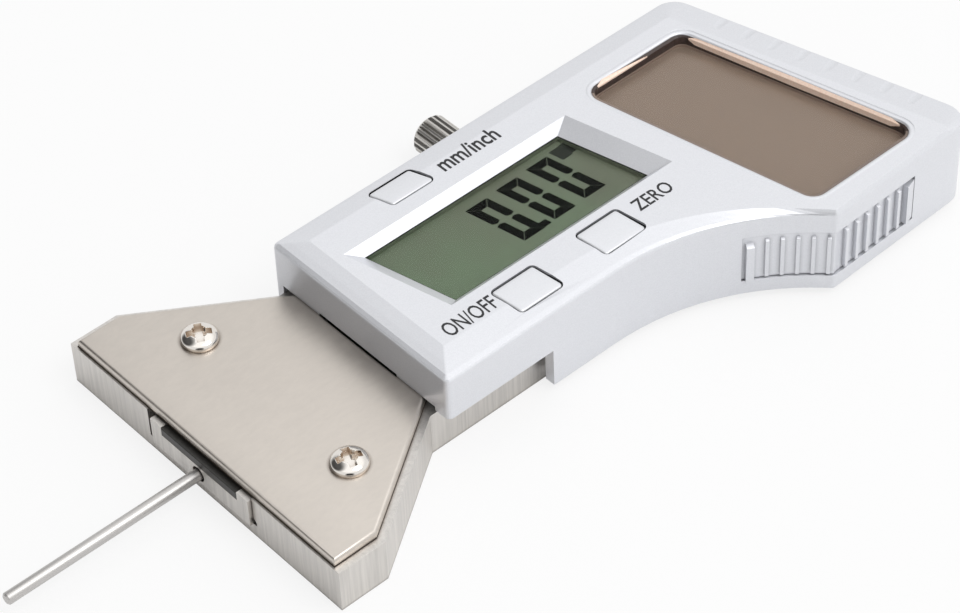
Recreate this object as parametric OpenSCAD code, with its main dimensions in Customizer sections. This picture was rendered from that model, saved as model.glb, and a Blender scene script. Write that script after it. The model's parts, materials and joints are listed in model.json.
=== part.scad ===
// Digital depth gauge with a wide measuring foot.
// A beam slides in a channel milled through a T-shaped steel frame and pushes a thin rod out
// past the measuring face. A moulded housing on the frame's stem holds the display and the
// solar cell. X runs from the measuring face to the rear, Z = 0 is the underside.

/* [Base frame] */
// Width of the foot across the measuring face
foot_w = 45; // [40:0.5:50]
// Length of the straight ends of the foot
foot_end = 6.2; // [5:0.1:7]
// Length of the foot, from the measuring face to the stem
foot_l = 21; // [18:0.1:21.2]
// Width of the stem under the housing
stem_w = 25; // [24.4:0.1:25.2]
// How far the stem reaches behind the belly's front corner
stem_past = 11.55; // [9:0.05:12]
// Thickness of the frame
frame_t = 5.7; // [5.4:0.1:6.2]
// Steel left beside the channel, plain side
rail_near = 4; // [3.8:0.1:4.4]
// Steel left beside the channel, lock screw's side
rail_far = 3.5; // [3.3:0.1:3.9]
// Steel left under the channel
slot_floor = 1.75; // [1.5:0.05:2]
// Depth of the relief cut along the channel's plain side
slot_relief = 0.5; // [0.3:0.1:0.8]

/* [Cover plate] */
// Thickness of the cover plate
plate_t = 1; // [0.8:0.1:1.2]
// Setback of the plate from the measuring face
plate_front = 0.3; // [0.1:0.1:0.6]
// Steel left bare along the foot's sides
plate_inset = 0.98; // [0.5:0.02:1.5]
// How far the plate reaches in under the housing's front
plate_tuck = 0.7; // [0.3:0.1:1.1]
// Distance of the cover screws from the measuring face
cover_screw_x = 10; // [8:0.5:12]
// Distance between the two cover screws
cover_screw_span = 25; // [23:0.5:27]
// Thread diameter of the cover screws
cover_screw_d = 2; // [1.6:0.1:2.2]
// Head diameter of the cover screws
cover_head_d = 4.3; // [3.6:0.1:4.5]
// Head height of the cover screws
cover_head_h = 1.2; // [0.8:0.05:1.4]

/* [Beam and rod] */
// Height of the beam, floor gap to rim
beam_h = 3.7; // [3.4:0.1:3.8]
// How far the beam reaches behind the frame with the rod fully out
beam_past = 3.5; // [2:0.5:4]
// How far the beam stands out of the measuring face with the rod fully out
beam_out = 0.5; // [0.2:0.1:0.8]
// Running gap round the beam
slide_gap = 0.05; // [0.03:0.01:0.08]
// Width of the beam's rims beside the scale strip
strip_rim = 1.875; // [1.6:0.025:2.6]
// Thickness of the scale strip
strip_t = 1; // [0.6:0.1:1.1]
// Depth of the strip below the beam's rims
strip_drop = 0.2; // [0.1:0.05:0.4]
// Travel of the beam, and so the measuring range
travel = 25.4; // [20:0.1:26]
// Diameter of the depth rod
rod_d = 1.4; // [1:0.1:1.8]
// Length of the rod held in the beam
rod_grip = 14; // [8:0.5:20]
// Diameter of the clearance ring round the rod at the beam's face
rod_ring_d = 1.9; // [1.85:0.05:2.2]
// How far the thumb pad stands out behind the housing
pad_out = 2.5; // [1.5:0.1:3.5]
// Thickness of the gib strip
gib_t = 1; // [0.8:0.05:1.2]

/* [Lock screw] */
// Distance of the lock screw behind the housing's front
lock_back = 30.15; // [26:0.05:33]
// Thread diameter of the lock screw
lock_d = 2.5; // [2:0.1:3]
// Knob diameter of the lock screw
knob_d = 5; // [4.5:0.1:6]
// Length of the knob
knob_l = 7.9; // [6:0.1:9]
// Number of grooves round the knob
knob_grooves = 20; // [12:1:24]
// Gap between the loose lock pad and the beam
lock_gap = 0.2; // [0.15:0.05:0.3]

/* [Housing outline] */
// Gap between the foot and the housing's front
front_gap = 0.65; // [0.4:0.05:1]
// Gap between the stem and the skirt, plain side
near_gap = 0.95; // [0.6:0.05:1.2]
// Gap between the stem and the skirt, lock screw's side
far_gap = 0.25; // [0.1:0.05:0.6]
// Corner where the waist meets the flank, behind the display's centre
belly_back = 25.45; // [24.4:0.05:26.5]
// Straight stretch between the waist's arc and the flank
waist_end = 0.81; // [0.7:0.01:1.2]
// Turn of the waist between the straight side and the flank, degrees
waist_turn = 47; // [44:1:50]
// Radius of the waist
waist_r = 31; // [24:0.5:34]
// Tilt of the flank, degrees
flank_tilt = 1.6; // [0:0.1:3]
// Rear face on the centre line, behind the frame's rear end
rear_reach = 5.35; // [5:0.05:7.5]
// Lean of the rear face, degrees
rear_lean = 14.6; // [12:0.1:17]
// Corner radius of the housing, front, plain side
front_near_r = 0.7; // [0.4:0.1:1.2]
// Corner radius of the housing, front, lock side
front_far_r = 0.8; // [0.4:0.1:3]
// Corner radius of the housing, rear
rear_r = 3; // [2:0.1:4]
// Corner radius at the belly
belly_r = 0.8; // [0.4:0.1:1.2]

/* [Housing section] */
// Height of the housing's lower edge
housing_z = 1; // [0.8:0.1:1.2]
// Height of the front part's lower edge, plain side
front_skirt_z = 6.2; // [5.9:0.1:6.5]
// Height of the side walls
wall_top = 12; // [11.8:0.1:12.3]
// Height of the flat top
crown = 12.5; // [12.4:0.05:12.8]
// Thickness of the side walls
wall = 1.35; // [1.1:0.05:1.4]
// Thickness of the top
roof = 1.3; // [1.1:0.1:1.5]
// Depth of both windows' seats below the top
seat_drop = 1.75; // [1.6:0.05:1.9]
// Width of the bevel along the front
front_bevel = 3.05; // [2.5:0.05:3.5]
// Width of the bevel along the plain side
near_bevel = 3.9; // [3.5:0.1:4.2]
// Width of the bevel along the lock side
far_bevel = 2.95; // [2.5:0.05:3.5]
// Width of the bevel along the flank
flank_bevel = 0.4; // [0.2:0.1:0.8]
// Width of the bevel along the rear
rear_bevel = 4.1; // [2.5:0.1:4.2]
// Length of the front part that sits on top of the stem
notch_l = 14.9; // [13:0.1:16]
// Number of finger scallops on the rear bevel
scallops = 8; // [5:1:8]
// Distance between scallops
scallop_pitch = 3.6; // [3:0.1:3.7]
// Width of one scallop
scallop_w = 2.5; // [1.8:0.1:2.8]

/* [Display] */
// Centre of the display window behind the housing's front
lcd_back = 21.85; // [21.5:0.05:22.2]
// Length of the display window
lcd_l = 28.3; // [26:0.1:29]
// Housing beside the display window, plain side
lcd_near = 8.9; // [8.7:0.05:9.5]
// Housing beside the display window, lock screw's side
lcd_far = 8.35; // [8.2:0.05:9]
// Slant of the display window, run per unit of width
lcd_slant = 0.236; // [0.2:0.002:0.26]
// Depth of the lens below the top
lens_drop = 1; // [0.8:0.05:1.2]
// Thickness of the display glass
panel_t = 1.1; // [0.9:0.05:1.3]
// Display glass hidden behind the window's edges
panel_rim = 1.15; // [0.9:0.05:1.3]

/* [Solar cell] */
// Front edge of the solar window, ahead of the belly's front corner
solar_ahead = 5.8; // [5.4:0.05:6]
// Housing beside the solar window, lock screw's side
solar_side = 5.95; // [5.8:0.05:6.3]
// Housing beside the solar window, at the belly
solar_end = 3.7; // [3.3:0.1:5]
// Length of the solar window at its far end
solar_l = 14.7; // [13.5:0.1:15]
// Slant of the solar window's front edge
solar_slant = 0.2; // [0.18:0.005:0.24]
// Slant of the solar window's rear edge
solar_rear_slant = 0.236; // [0.22:0.002:0.25]
// Corner radius of the solar window
solar_r = 1.3; // [0.8:0.1:1.8]
// Depth of the clear window below the top
solar_drop = 0.4; // [0.3:0.05:0.6]
// Thickness of the solar cell
cell_t = 0.8; // [0.6:0.1:1]

/* [Buttons] */
// Length of the buttons along the gauge
button_l = 6; // [5.4:0.1:6.4]
// Travel of the buttons
button_travel = 0.4; // [0.3:0.05:0.5]
// Corner radius of the buttons
button_r = 0.5; // [0.3:0.05:0.8]
// Gap between a button and the housing
button_gap = 0.2; // [0.1:0.01:0.24]
// How far the buttons stand proud of the top
button_proud = 0.12; // [0.05:0.01:0.3]

/* [Side grip] */
// Lowest edge of the grip's pocket
grip_z = 2.9; // [2.7:0.1:3.3]
// Height of the grip's pocket
grip_h = 6.5; // [6:0.1:6.8]
// Depth of the grip's pocket
grip_depth = 0.8; // [0.6:0.05:0.85]
// Length of the pocket along the flank
grip_l = 12.9; // [12:0.1:13.5]
// Distance between ribs
rib_pitch = 1.7; // [1.5:0.05:1.75]
// Width of one rib
rib_w = 0.5; // [0.35:0.05:0.6]
// Height of the ribs above the wall
rib_proud = 0.15; // [0.05:0.05:0.3]
// Height of the end posts above the wall
post_proud = 0.45; // [0.3:0.05:0.6]

/* [Inside] */
// Thickness of the circuit board
board_t = 1; // [0.8:0.1:1.2]
// Thickness of the back cover
back_t = 1.5; // [1.3:0.05:1.6]
// Diameter of the storage capacitor
capacitor_d = 9.3; // [8:0.1:9.5]
// Thread diameter of the small screws
small_d = 1.6; // [1.4:0.1:1.7]

/* [Hidden] */
$fn = 48;

// Clearances shared by every fit
seat_gap = 0.02;      // pieces that stay together
thread_gap = 0.03;    // a screw in its hole
free_gap = 0.35;      // openings that something moves through
skirt_gap = 0.05;     // beside the stem
cut = 1;              // how far a cutter runs past a face

// Lengths that follow the frame and the housing's front
front_x = foot_l + front_gap;
lcd_x = front_x + lcd_back;
belly_x = lcd_x + belly_back;
frame_l = belly_x + stem_past;
rear_x = frame_l + rear_reach;
plate_l = front_x + plate_tuck;
beam_l = beam_out + frame_l + beam_past;
lock_x = front_x + lock_back;
near_y = stem_w / 2 + near_gap + wall;
far_y = stem_w / 2 + far_gap + wall;
lcd_w = near_y + far_y - lcd_near - lcd_far;
lcd_y = (far_y - lcd_far - near_y + lcd_near) / 2;
belly_y = near_y + (waist_r * tan(waist_turn / 2) + waist_end) * sin(waist_turn);

// Channel, beam and gib
slot_near = rail_near - stem_w / 2;
slot_far = stem_w / 2 - rail_far;
beam_near = slot_near + slide_gap;
beam_far = slot_far - gib_t - 2 * slide_gap;
beam_w = beam_far - beam_near;
beam_mid = (beam_near + beam_far) / 2;
beam_z = slot_floor + slide_gap;
beam_top = beam_z + beam_h;
strip_z = beam_top - strip_drop - strip_t;
strip_w = beam_w - 2 * strip_rim;
strip_short = 5.5;
strip_l = beam_l - strip_short;
rod_z = (beam_z + strip_z) / 2;
rod_ring_l = 1;
gib_x = 3.5;
gib_l = frame_l - 2 * gib_x + 0.5;
tang_w = 6;
tang_l = 4;

// Lock screw, on the beam's mid height
lock_z = (beam_z + beam_top) / 2;
lock_pitch = 0.45;
pad_l = 1.6;
lock_pad_y = beam_far + lock_gap;
lock_tip_y = lock_pad_y + pad_l + seat_gap;
knob_clear = 1.2;
knob_y = far_y + knob_clear;
knob_edge = 0.4;
groove_r = 0.28;

// Heights inside the housing
plate_top = frame_t + plate_t;
board_z = frame_t;
cover_top = housing_z + back_t;
board_top = board_z + board_t;
roof_z = crown - roof;
seat_z = crown - seat_drop;
panel_z = seat_z - panel_t;

// Screws: [x, y] places, and how deep they go
screw_edge = 1.7;
screw_y = stem_w / 2 - screw_edge;
cover_screw_turns = [70, 60];   // how the cover screws' crosses stand, degrees
housing_screw_in = 6.7;
housing_screw_span = 32;
board_screw_front = 4.5;
board_screw_rear = 9;
gib_screw_front = 11;
gib_screw_rear = 4;
post_front_x = front_x + housing_screw_in;
post_rear_x = post_front_x + housing_screw_span;
housing_screw_xy = [for (x = [post_front_x, post_rear_x], y = [-screw_y, screw_y]) [x, y]];
board_screw_xy = [for (x = [post_front_x + board_screw_front, post_rear_x + board_screw_rear],
    y = [-screw_y, screw_y]) [x, y]];
gib_screw_x = [post_front_x + gib_screw_front, post_rear_x + gib_screw_rear];
waist_screw_back = 4.1;
waist_screw_in = 8;
rear_screw_back = 1.3;
rear_screw_in = 5.2;
back_screw_xy = [[belly_x - waist_screw_back, waist_screw_in - belly_y],
    [rear_x + rear_screw_back, rear_screw_in - belly_y]];
small_head_d = 2.9;
small_head_h = 1;
boss_d = 3.3;
cover_thread = 4;
board_thread = 3;
bite = 2.5;           // a small screw's length in the housing
bite_room = 0.5;      // depth left under its tip
thread_share = 0.9;   // share of a blind thread that its screw fills

// Outline of the housing: one row per side, a point on it and its heading. It runs round
// anticlockwise, so the inside is always on the left.
belly = [belly_x, -belly_y];
sides = [
    [[0, -near_y], 0],
    [belly, -waist_turn],
    [belly, flank_tilt],
    [[rear_x, 0], 90 + rear_lean],
    [[0, far_y], 180],
    [[front_x, 0], 270]];
corner_radii = [front_near_r, waist_r, belly_r, rear_r, rear_r, front_far_r];
corner_steps = [4, 14, 3, 8, 7, 6];
corner_share = [0.45, 0.965, 0.03, 0.45, 0.45, 0.45];
smallest_r = 0.2;
last = len(sides) - 1;

function heading(a) = [cos(a), sin(a)];
function left(a) = [-sin(a), cos(a)];
function before(k) = (k + last) % (last + 1);
function after(k) = (k + 1) % (last + 1);
function turn(a, b) = (b - a + 540) % 360 - 180;
function meet(p, a, q, b) = p + heading(a) * cross(q - p, heading(b)) / cross(heading(a), heading(b));
function side_point(k, insets) = sides[k][0] + insets[k] * left(sides[k][1]);
// Sharp corner at the start of side k
function vertex(k, insets) = meet(side_point(before(k), insets), sides[before(k)][1],
    side_point(k, insets), sides[k][1]);
function side_length(k, insets) = norm(vertex(after(k), insets) - vertex(k, insets));
// Rounded corner at the start of side k; its radius never outgrows the sides next to it
function corner(k, insets) =
    let (j = before(k), a = sides[j][1], t = turn(a, sides[k][1]), s = sign(t),
        wanted = max(corner_radii[k] - s * (insets[j] + insets[k]) / 2, smallest_r),
        room = corner_share[k] * min(side_length(j, insets), side_length(k, insets)) / tan(abs(t) / 2),
        r = min(wanted, room),
        c = vertex(k, insets) - heading(a) * r * tan(abs(t) / 2) + left(a) * s * r)
    [for (i = [0:corner_steps[k]]) c - s * r * left(a + t * i / corner_steps[k])];
function outline(insets) = [for (k = [0:last]) each corner(k, insets)];
function even(d) = [for (k = [0:last]) d];

// Width of the bevel already covered at height z, as a share; it starts softly at the wall's top
soft = 0.25;
function ramp(d) = (d + sqrt(d * d + soft * soft)) / (1 + sqrt(1 + soft * soft));
bevels = [near_bevel, flank_bevel, flank_bevel, rear_bevel, far_bevel, front_bevel];
bevel_rows = [-1, -0.5, -0.15, 0.15, 0.5, 1];
function bevel_z(d) = wall_top + d * (crown - wall_top);

// Place and heading of the waist's arc
waist_half = waist_turn / 2;
waist_vertex = vertex(1, even(0));
waist_c = [waist_vertex[0] - waist_r * tan(waist_half), -near_y - waist_r];

// Display glass and window, the window as corners
panel_l = lcd_l + lcd_slant * lcd_w + 2 * panel_rim;
panel_w = lcd_w + 2 * panel_rim;
function slanted(x, y, l, w, s) = [
    [x - l / 2 - s * w / 2, y + w / 2], [x - l / 2 + s * w / 2, y - w / 2],
    [x + l / 2 + s * w / 2, y - w / 2], [x + l / 2 - s * w / 2, y + w / 2]];
lcd_window = slanted(lcd_x, lcd_y, lcd_l, lcd_w, lcd_slant);
// Run of the recess's sloping walls: front, near, rear and far
recess_front = 1.7;
recess_near = 1.05;
recess_rear = 2.5;
recess_far = 1.15;
lcd_recess = [
    lcd_window[0] + [-recess_front - lcd_slant * recess_far, recess_far],
    lcd_window[1] + [-recess_front + lcd_slant * recess_near, -recess_near],
    lcd_window[2] + [recess_rear + lcd_slant * recess_near, -recess_near],
    lcd_window[3] + [recess_rear - lcd_slant * recess_far, recess_far]];

// Solar window, as corners grown by a margin
solar_x = belly_x - solar_ahead;
solar_far = far_y - solar_side;
solar_near = belly_y - solar_end;
solar_span = solar_far + solar_near;
function solar_corners(m) = [
    [solar_x - m - solar_slant * m, solar_far + m],
    [solar_x - m + solar_slant * (solar_span + m), -solar_near - m],
    [solar_x + solar_l + m + solar_rear_slant * (solar_span + m), -solar_near - m],
    [solar_x + solar_l + m - solar_rear_slant * m, solar_far + m]];
solar_lip = 1;
solar_lip_h = 0.4;
cell_margin = 0.8;

// Buttons: [x, y, width across the gauge, slant]
units_ahead = 5.95;
units_in = 3.3;
units_w = 3.3;
units_slant = 0.3;
zero_back = 5.75;
zero_in = 4.45;
power_ahead = 6.7;
power_in = 4.25;
key_w = 4.3;
key_slant = 0.15;
units_spec = [lcd_x - units_ahead, far_y - units_in, units_w, units_slant];
zero_spec = [lcd_x + zero_back, zero_in - near_y, key_w, key_slant];
power_spec = [lcd_x - power_ahead, power_in - near_y, key_w, key_slant];
button_specs = [units_spec, zero_spec, power_spec];
button_wing = 0.6;
wing_h = 0.9;
wing_gap = 0.1;
post_d = 2;
dome_h = 0.6;
dome_d = 3.2;
dome_gap = 0.05;

// Slot over the plate in the housing's front wall
vent_w = 12.8;
vent_h = 0.3;

// Inside
lobe_in = 0.2;
lobe_l = 15.7;
board_short = 1;
processor_l = 9;
processor_w = 8;
processor_h = 1.2;
processor_in = 41.2;
capacitor_back = 6.4;
cover_reach = 12.6;

// Side grip
rib_count = 5;
flank_ribs = 6;
rib_turn = rib_pitch / waist_r * 180 / PI;
first_rib = 55.4;
post_turn = 59;
pocket_turn = 60.6;
first_flank_rib = 1.8;
rib_short = 0.3;
grip_base = 0.4;
post_w = 1;
wedge_l = 1.5;

// Any corner list with rounded corners, all turning the same way
function rounded(p, r, n) = [for (k = [0:len(p) - 1])
    let (u = unit(p[k] - p[(k + len(p) - 1) % len(p)]), v = unit(p[(k + 1) % len(p)] - p[k]),
        a = atan2(u[1], u[0]), t = turn(a, atan2(v[1], v[0])),
        c = p[k] - u * r * tan(t / 2) + left(a) * r)
    each [for (i = [0:n]) c - r * left(a + t * i / n)]];
function unit(v) = v / norm(v);

// Solid skin through rows of matching outlines, each row a list of points at its height.
// Each end is closed by a fan of triangles round a core point that every corner can see.
module loft(rows, heights, core) {
    n = len(rows[0]);
    m = len(rows);
    rings = [for (r = [0:m - 1], p = rows[r]) [p[0], p[1], heights[r]]];
    cores = [[core[0], core[1], heights[0]], [core[0], core[1], heights[m - 1]]];
    skin = [for (r = [0:m - 2], i = [0:n - 1])
        let (a = r * n + i, b = r * n + (i + 1) % n)
        each [[a, a + n, b + n], [a, b + n, b]]];
    bottom = [for (i = [0:n - 1]) [i, (i + 1) % n, n * m]];
    top = [for (i = [0:n - 1]) [(m - 1) * n + (i + 1) % n, (m - 1) * n + i, n * m + 1]];
    polyhedron(concat(rings, cores), concat(skin, bottom, top), convexity = 6);
}

// Runs a drawing of [y, z] points along X
module along_x(l) {
    rotate([90, 0, 90]) linear_extrude(l) children();
}

// A block from a low corner to a high corner
module block(low, high) {
    translate(low) cube(high - low);
}

// A cylinder along +Y from a point
module rod_y(p, d, l) {
    translate(p) rotate([-90, 0, 0]) cylinder(d = d, h = l);
}

// Outline of the frame, shrunk along its sides
module foot_outline(inset, front, rear) {
    slope = (foot_w - stem_w) / 2 / (foot_l - foot_end);
    side_x = foot_end - inset * (sqrt(1 + slope * slope) - 1) / slope;
    half = foot_w / 2 - inset;
    half_rear = half - slope * (rear - side_x);
    polygon([[front, -half], [side_x, -half], [rear, -half_rear], [rear, half_rear],
        [side_x, half], [front, half]]);
}

module frame_outline() {
    foot_outline(0, 0, foot_l);
    translate([foot_l - cut, -stem_w / 2]) square([frame_l - foot_l + cut, stem_w]);
}

module channel_section() {
    polygon([
        [slot_near, frame_t + cut], [slot_near, slot_floor + 2 * slot_relief],
        [slot_near - slot_relief, slot_floor + slot_relief], [slot_near - slot_relief, slot_floor],
        [slot_far, slot_floor], [slot_far, frame_t + cut]]);
}

module base_frame() {
    color("lightgray")
    difference() {
        linear_extrude(frame_t) frame_outline();
        translate([-cut, 0, 0]) along_x(frame_l + 2 * cut) channel_section();
        for (y = [-1, 1] * cover_screw_span / 2)
            translate([cover_screw_x, y, frame_t - cover_thread]) cylinder(
                d = cover_screw_d + 2 * thread_gap, h = cover_thread + cut);
        for (p = housing_screw_xy) {
            translate([p[0], p[1], -cut]) cylinder(d = small_d + 4 * thread_gap, h = frame_t + 2 * cut);
            translate([p[0], p[1], -cut]) cylinder(d = small_head_d + 4 * thread_gap,
                h = small_head_h + 2 * seat_gap + cut);
        }
        for (p = board_screw_xy)
            translate([p[0], p[1], frame_t - board_thread]) cylinder(
                d = small_d + 2 * thread_gap, h = board_thread + cut);
        for (x = gib_screw_x)
            rod_y([x, slot_far - cut, lock_z], small_d + 2 * thread_gap, stem_w / 2 - slot_far + 2 * cut);
        rod_y([lock_x, slot_far - cut, lock_z], lock_d, stem_w / 2 - slot_far + 2 * cut);
    }
}
module cover_plate() {
    color("gainsboro")
    difference() {
        translate([0, 0, frame_t]) linear_extrude(plate_t)
            foot_outline(plate_inset, plate_front, plate_l);
        for (y = [-1, 1] * cover_screw_span / 2)
            translate([cover_screw_x, y, frame_t - cut])
                cylinder(d = cover_screw_d + 4 * thread_gap, h = plate_t + 2 * cut);
        // open behind the slot in the housing's front wall
        block([front_x - seat_gap, -vent_w / 2, frame_t - cut],
            [plate_l + cut, vent_w / 2, plate_top + cut]);
    }
}

// Cross-headed screw standing at the origin, head on top, shank down. The head is a short rim
// under a dome, and the cross has small ticks between its arms.
module pan_screw(d, l, head_d, head_h, cross_w, cross_l) {
    rim = head_h / 4;
    tip = head_h / 6;
    dome = [for (a = [0:15:90]) [head_d / 2 * cos(a), rim + (head_h - rim) * sin(a)]];
    difference() {
        rotate_extrude() polygon(concat([[0, -l], [d / 2 - tip, -l], [d / 2, tip - l], [d / 2, 0],
            [head_d / 2, 0]], dome));
        for (a = [0, 90]) {
            rotate(a) translate([-cross_l / 2, -cross_w / 2, rim]) cube([cross_l, cross_w, head_h]);
            rotate(a + 45) translate([-cross_l / 3, -cross_w / 4, 2 * rim])
                cube([2 * cross_l / 3, cross_w / 2, head_h]);
        }
    }
}

module cover_screws() {
    color("silver")
    for (i = [0, 1])
        translate([cover_screw_x, (i - 0.5) * cover_screw_span, plate_top]) rotate(cover_screw_turns[i])
            pan_screw(cover_screw_d, plate_t + cover_thread * thread_share, cover_head_d, cover_head_h,
                cover_head_d / 5, cover_head_d * 0.66);
}

module beam() {
    color("lightgray")
    difference() {
        translate([-beam_out, beam_near, beam_z]) cube([beam_l, beam_w, beam_h]);
        block([-beam_out - cut, beam_near + strip_rim - seat_gap, strip_z],
            [strip_l - beam_out + seat_gap, beam_near + strip_rim + strip_w + seat_gap, beam_top + cut]);
        translate([-beam_out - cut, 0, rod_z]) rotate([0, 90, 0])
            cylinder(d = rod_ring_d, h = rod_ring_l + cut);
        translate([-beam_out - cut, 0, rod_z]) rotate([0, 90, 0])
            cylinder(d = rod_d + 2 * seat_gap, h = rod_grip + cut + seat_gap);
        block([beam_l - beam_out - tang_l, beam_mid - tang_w / 2, beam_z - cut],
            [beam_l - beam_out + cut, beam_mid + tang_w / 2, beam_top + cut]);
    }
}

module scale_strip() {
    color("black")
    block([-beam_out, beam_near + strip_rim, strip_z],
        [strip_l - beam_out, beam_near + strip_rim + strip_w, strip_z + strip_t]);
}

module depth_rod() {
    tip = rod_d / 8;
    color("silver")
    translate([-travel, 0, rod_z]) rotate([0, 90, 0])
        rotate_extrude() polygon([[0, 0], [rod_d / 2 - tip, 0], [rod_d / 2, tip],
            [rod_d / 2, travel - beam_out + rod_grip], [0, travel - beam_out + rod_grip]]);
}

// Thumb pad: fills the rear of the beam and follows the housing's leaning rear face
module thumb_pad() {
    low = beam_z + 2 * slide_gap;
    high = beam_top - 2 * slide_gap;
    start = beam_l - beam_out + seat_gap;
    lean = tan(rear_lean);
    near = beam_near + 4 * slide_gap;
    far = beam_far - 4 * slide_gap;
    function rear(y) = rear_x - lean * y + pad_out;
    grooves = 4;
    groove_pitch = 3;
    groove_size = 0.5;
    color("dimgray")
    difference() {
        union() {
            translate([0, 0, low]) linear_extrude(high - low)
                polygon([[start, near], [rear(near), near], [rear(far), far], [start, far]]);
            block([start - tang_l + seat_gap, beam_mid - tang_w / 2 + seat_gap, low],
                [start + cut, beam_mid + tang_w / 2 - seat_gap, strip_z]);
        }
        for (i = [0:grooves - 1])
            let (y = beam_mid + (i - (grooves - 1) / 2) * groove_pitch)
            translate([rear(y), y, low - cut]) cylinder(r = groove_size, h = high - low + 2 * cut, $fn = 4);
    }
}

module gib_strip() {
    color("goldenrod")
    difference() {
        block([gib_x, beam_far + slide_gap, beam_z], [gib_x + gib_l, slot_far - slide_gap, beam_top]);
        rod_y([lock_x, beam_far - cut, lock_z], lock_d, gib_t + 2 * cut);
    }
}

module gib_screws() {
    socket_d = 0.8;
    length = 3;
    color("dimgray")
    for (x = gib_screw_x)
        difference() {
            rod_y([x, slot_far - slide_gap, lock_z], small_d, length);
            rod_y([x, slot_far - slide_gap + length / 2, lock_z], socket_d, length);
        }
}

module lock_screw() {
    color("silver")
    translate([lock_x, 0, lock_z]) rotate([-90, 0, 0]) {
        translate([0, 0, lock_tip_y]) cylinder(d = lock_d - 2 * thread_gap, h = knob_y - lock_tip_y + cut);
        difference() {
            rotate_extrude() polygon([[0, knob_y], [knob_d / 2 - knob_edge, knob_y],
                [knob_d / 2, knob_y + knob_edge], [knob_d / 2, knob_y + knob_l - knob_edge],
                [knob_d / 2 - knob_edge, knob_y + knob_l], [0, knob_y + knob_l]]);
            for (i = [0:knob_grooves - 1])
                rotate(i * 360 / knob_grooves) translate([knob_d / 2, 0, knob_y - cut])
                    cylinder(r = groove_r, h = knob_l + 2 * cut, $fn = 4);
        }
    }
}

module lock_pad() {
    color("goldenrod")
    rod_y([lock_x, lock_pad_y, lock_z], lock_d - 4 * thread_gap, pad_l);
}

// Outer form of the housing: straight walls, then a soft bevel up to the flat top
module housing_form() {
    rows = concat([outline(even(0))], [for (d = bevel_rows) outline(bevels * ramp(d))]);
    loft(rows, concat([housing_z], [for (d = bevel_rows) bevel_z(d)]), [belly_x, (far_y - belly_y) / 2]);
}

function middle(p) = [for (k = [0, 1]) let (v = [for (q = p) q[k]]) (min(v) + max(v)) / 2];

// The space of an opening with sloping walls: from one corner list up to a wider one
module funnel(low, high, z_low, z_high) {
    loft([low, high, high], [z_low, z_high, z_high + cut], middle(low));
}

module button_prism(spec, grow, z, h) {
    translate([0, 0, z]) linear_extrude(h)
        polygon(rounded(slanted(spec[0], spec[1], button_l + 2 * grow, spec[2] + 2 * grow, spec[3]),
            button_r + grow, 4));
}

// Section of the top across the front part of the housing, raised by a little
module crown_section(up) {
    polygon([[-near_y, 0], [far_y, 0], [far_y, wall_top + up], [far_y - far_bevel, crown + up],
        [near_bevel - near_y, crown + up], [-near_y, wall_top + up]]);
}

module finger_scallops() {
    reach = 2.3;
    depth = 0.3;
    middle = -5.6;
    translate([rear_x, 0, 0]) rotate(rear_lean)
        for (i = [0:scallops - 1])
            translate([-reach, middle + (i - (scallops - 1) / 2) * scallop_pitch,
                crown - depth + scallop_w / 2]) {
                sphere(d = scallop_w);
                rotate([0, 100, 0]) cylinder(d = scallop_w, h = 2 * reach);
            }
}

// Grip shapes follow the waist's arc and then the flank: d is the depth below the wall's face
module grip_band(depth, proud, z, h, end_gap) {
    start = pocket_turn - end_gap / waist_r * 180 / PI;
    stop = 90 - waist_turn;
    translate([waist_c[0], waist_c[1], z])
        rotate(stop) rotate_extrude(angle = start - stop)
            translate([waist_r - proud, 0]) square([depth + proud, h]);
    inner = vertex(2, even(depth));
    outer = vertex(2, even(-proud));
    arc_in = waist_c + (waist_r + depth) * heading(stop);
    arc_out = waist_c + (waist_r - proud) * heading(stop);
    far_end = heading(flank_tilt) * (grip_l - end_gap);
    translate([0, 0, z]) linear_extrude(h)
        polygon([arc_in, arc_out, outer, belly + far_end - proud * left(flank_tilt),
            belly + far_end + depth * left(flank_tilt), inner]);
}

module waist_bar(angle, width, depth, proud, z, h) {
    translate([waist_c[0], waist_c[1], z]) rotate(angle)
        translate([waist_r - proud, -width / 2, 0]) cube([depth + proud, width, h]);
}

module flank_bar(x, width, depth, proud, z, h) {
    translate([belly[0], belly[1], z]) rotate(flank_tilt)
        translate([x - width / 2, -proud, 0]) cube([width, depth + proud, h]);
}

// Last post of the grip: it falls from its full height down to the wall's face
module end_wedge(x, depth, z, h) {
    translate([belly[0], belly[1], z]) rotate(flank_tilt) linear_extrude(h)
        polygon([[x - wedge_l, depth], [x - wedge_l, -post_proud], [x, 0], [x, depth]]);
}

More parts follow.
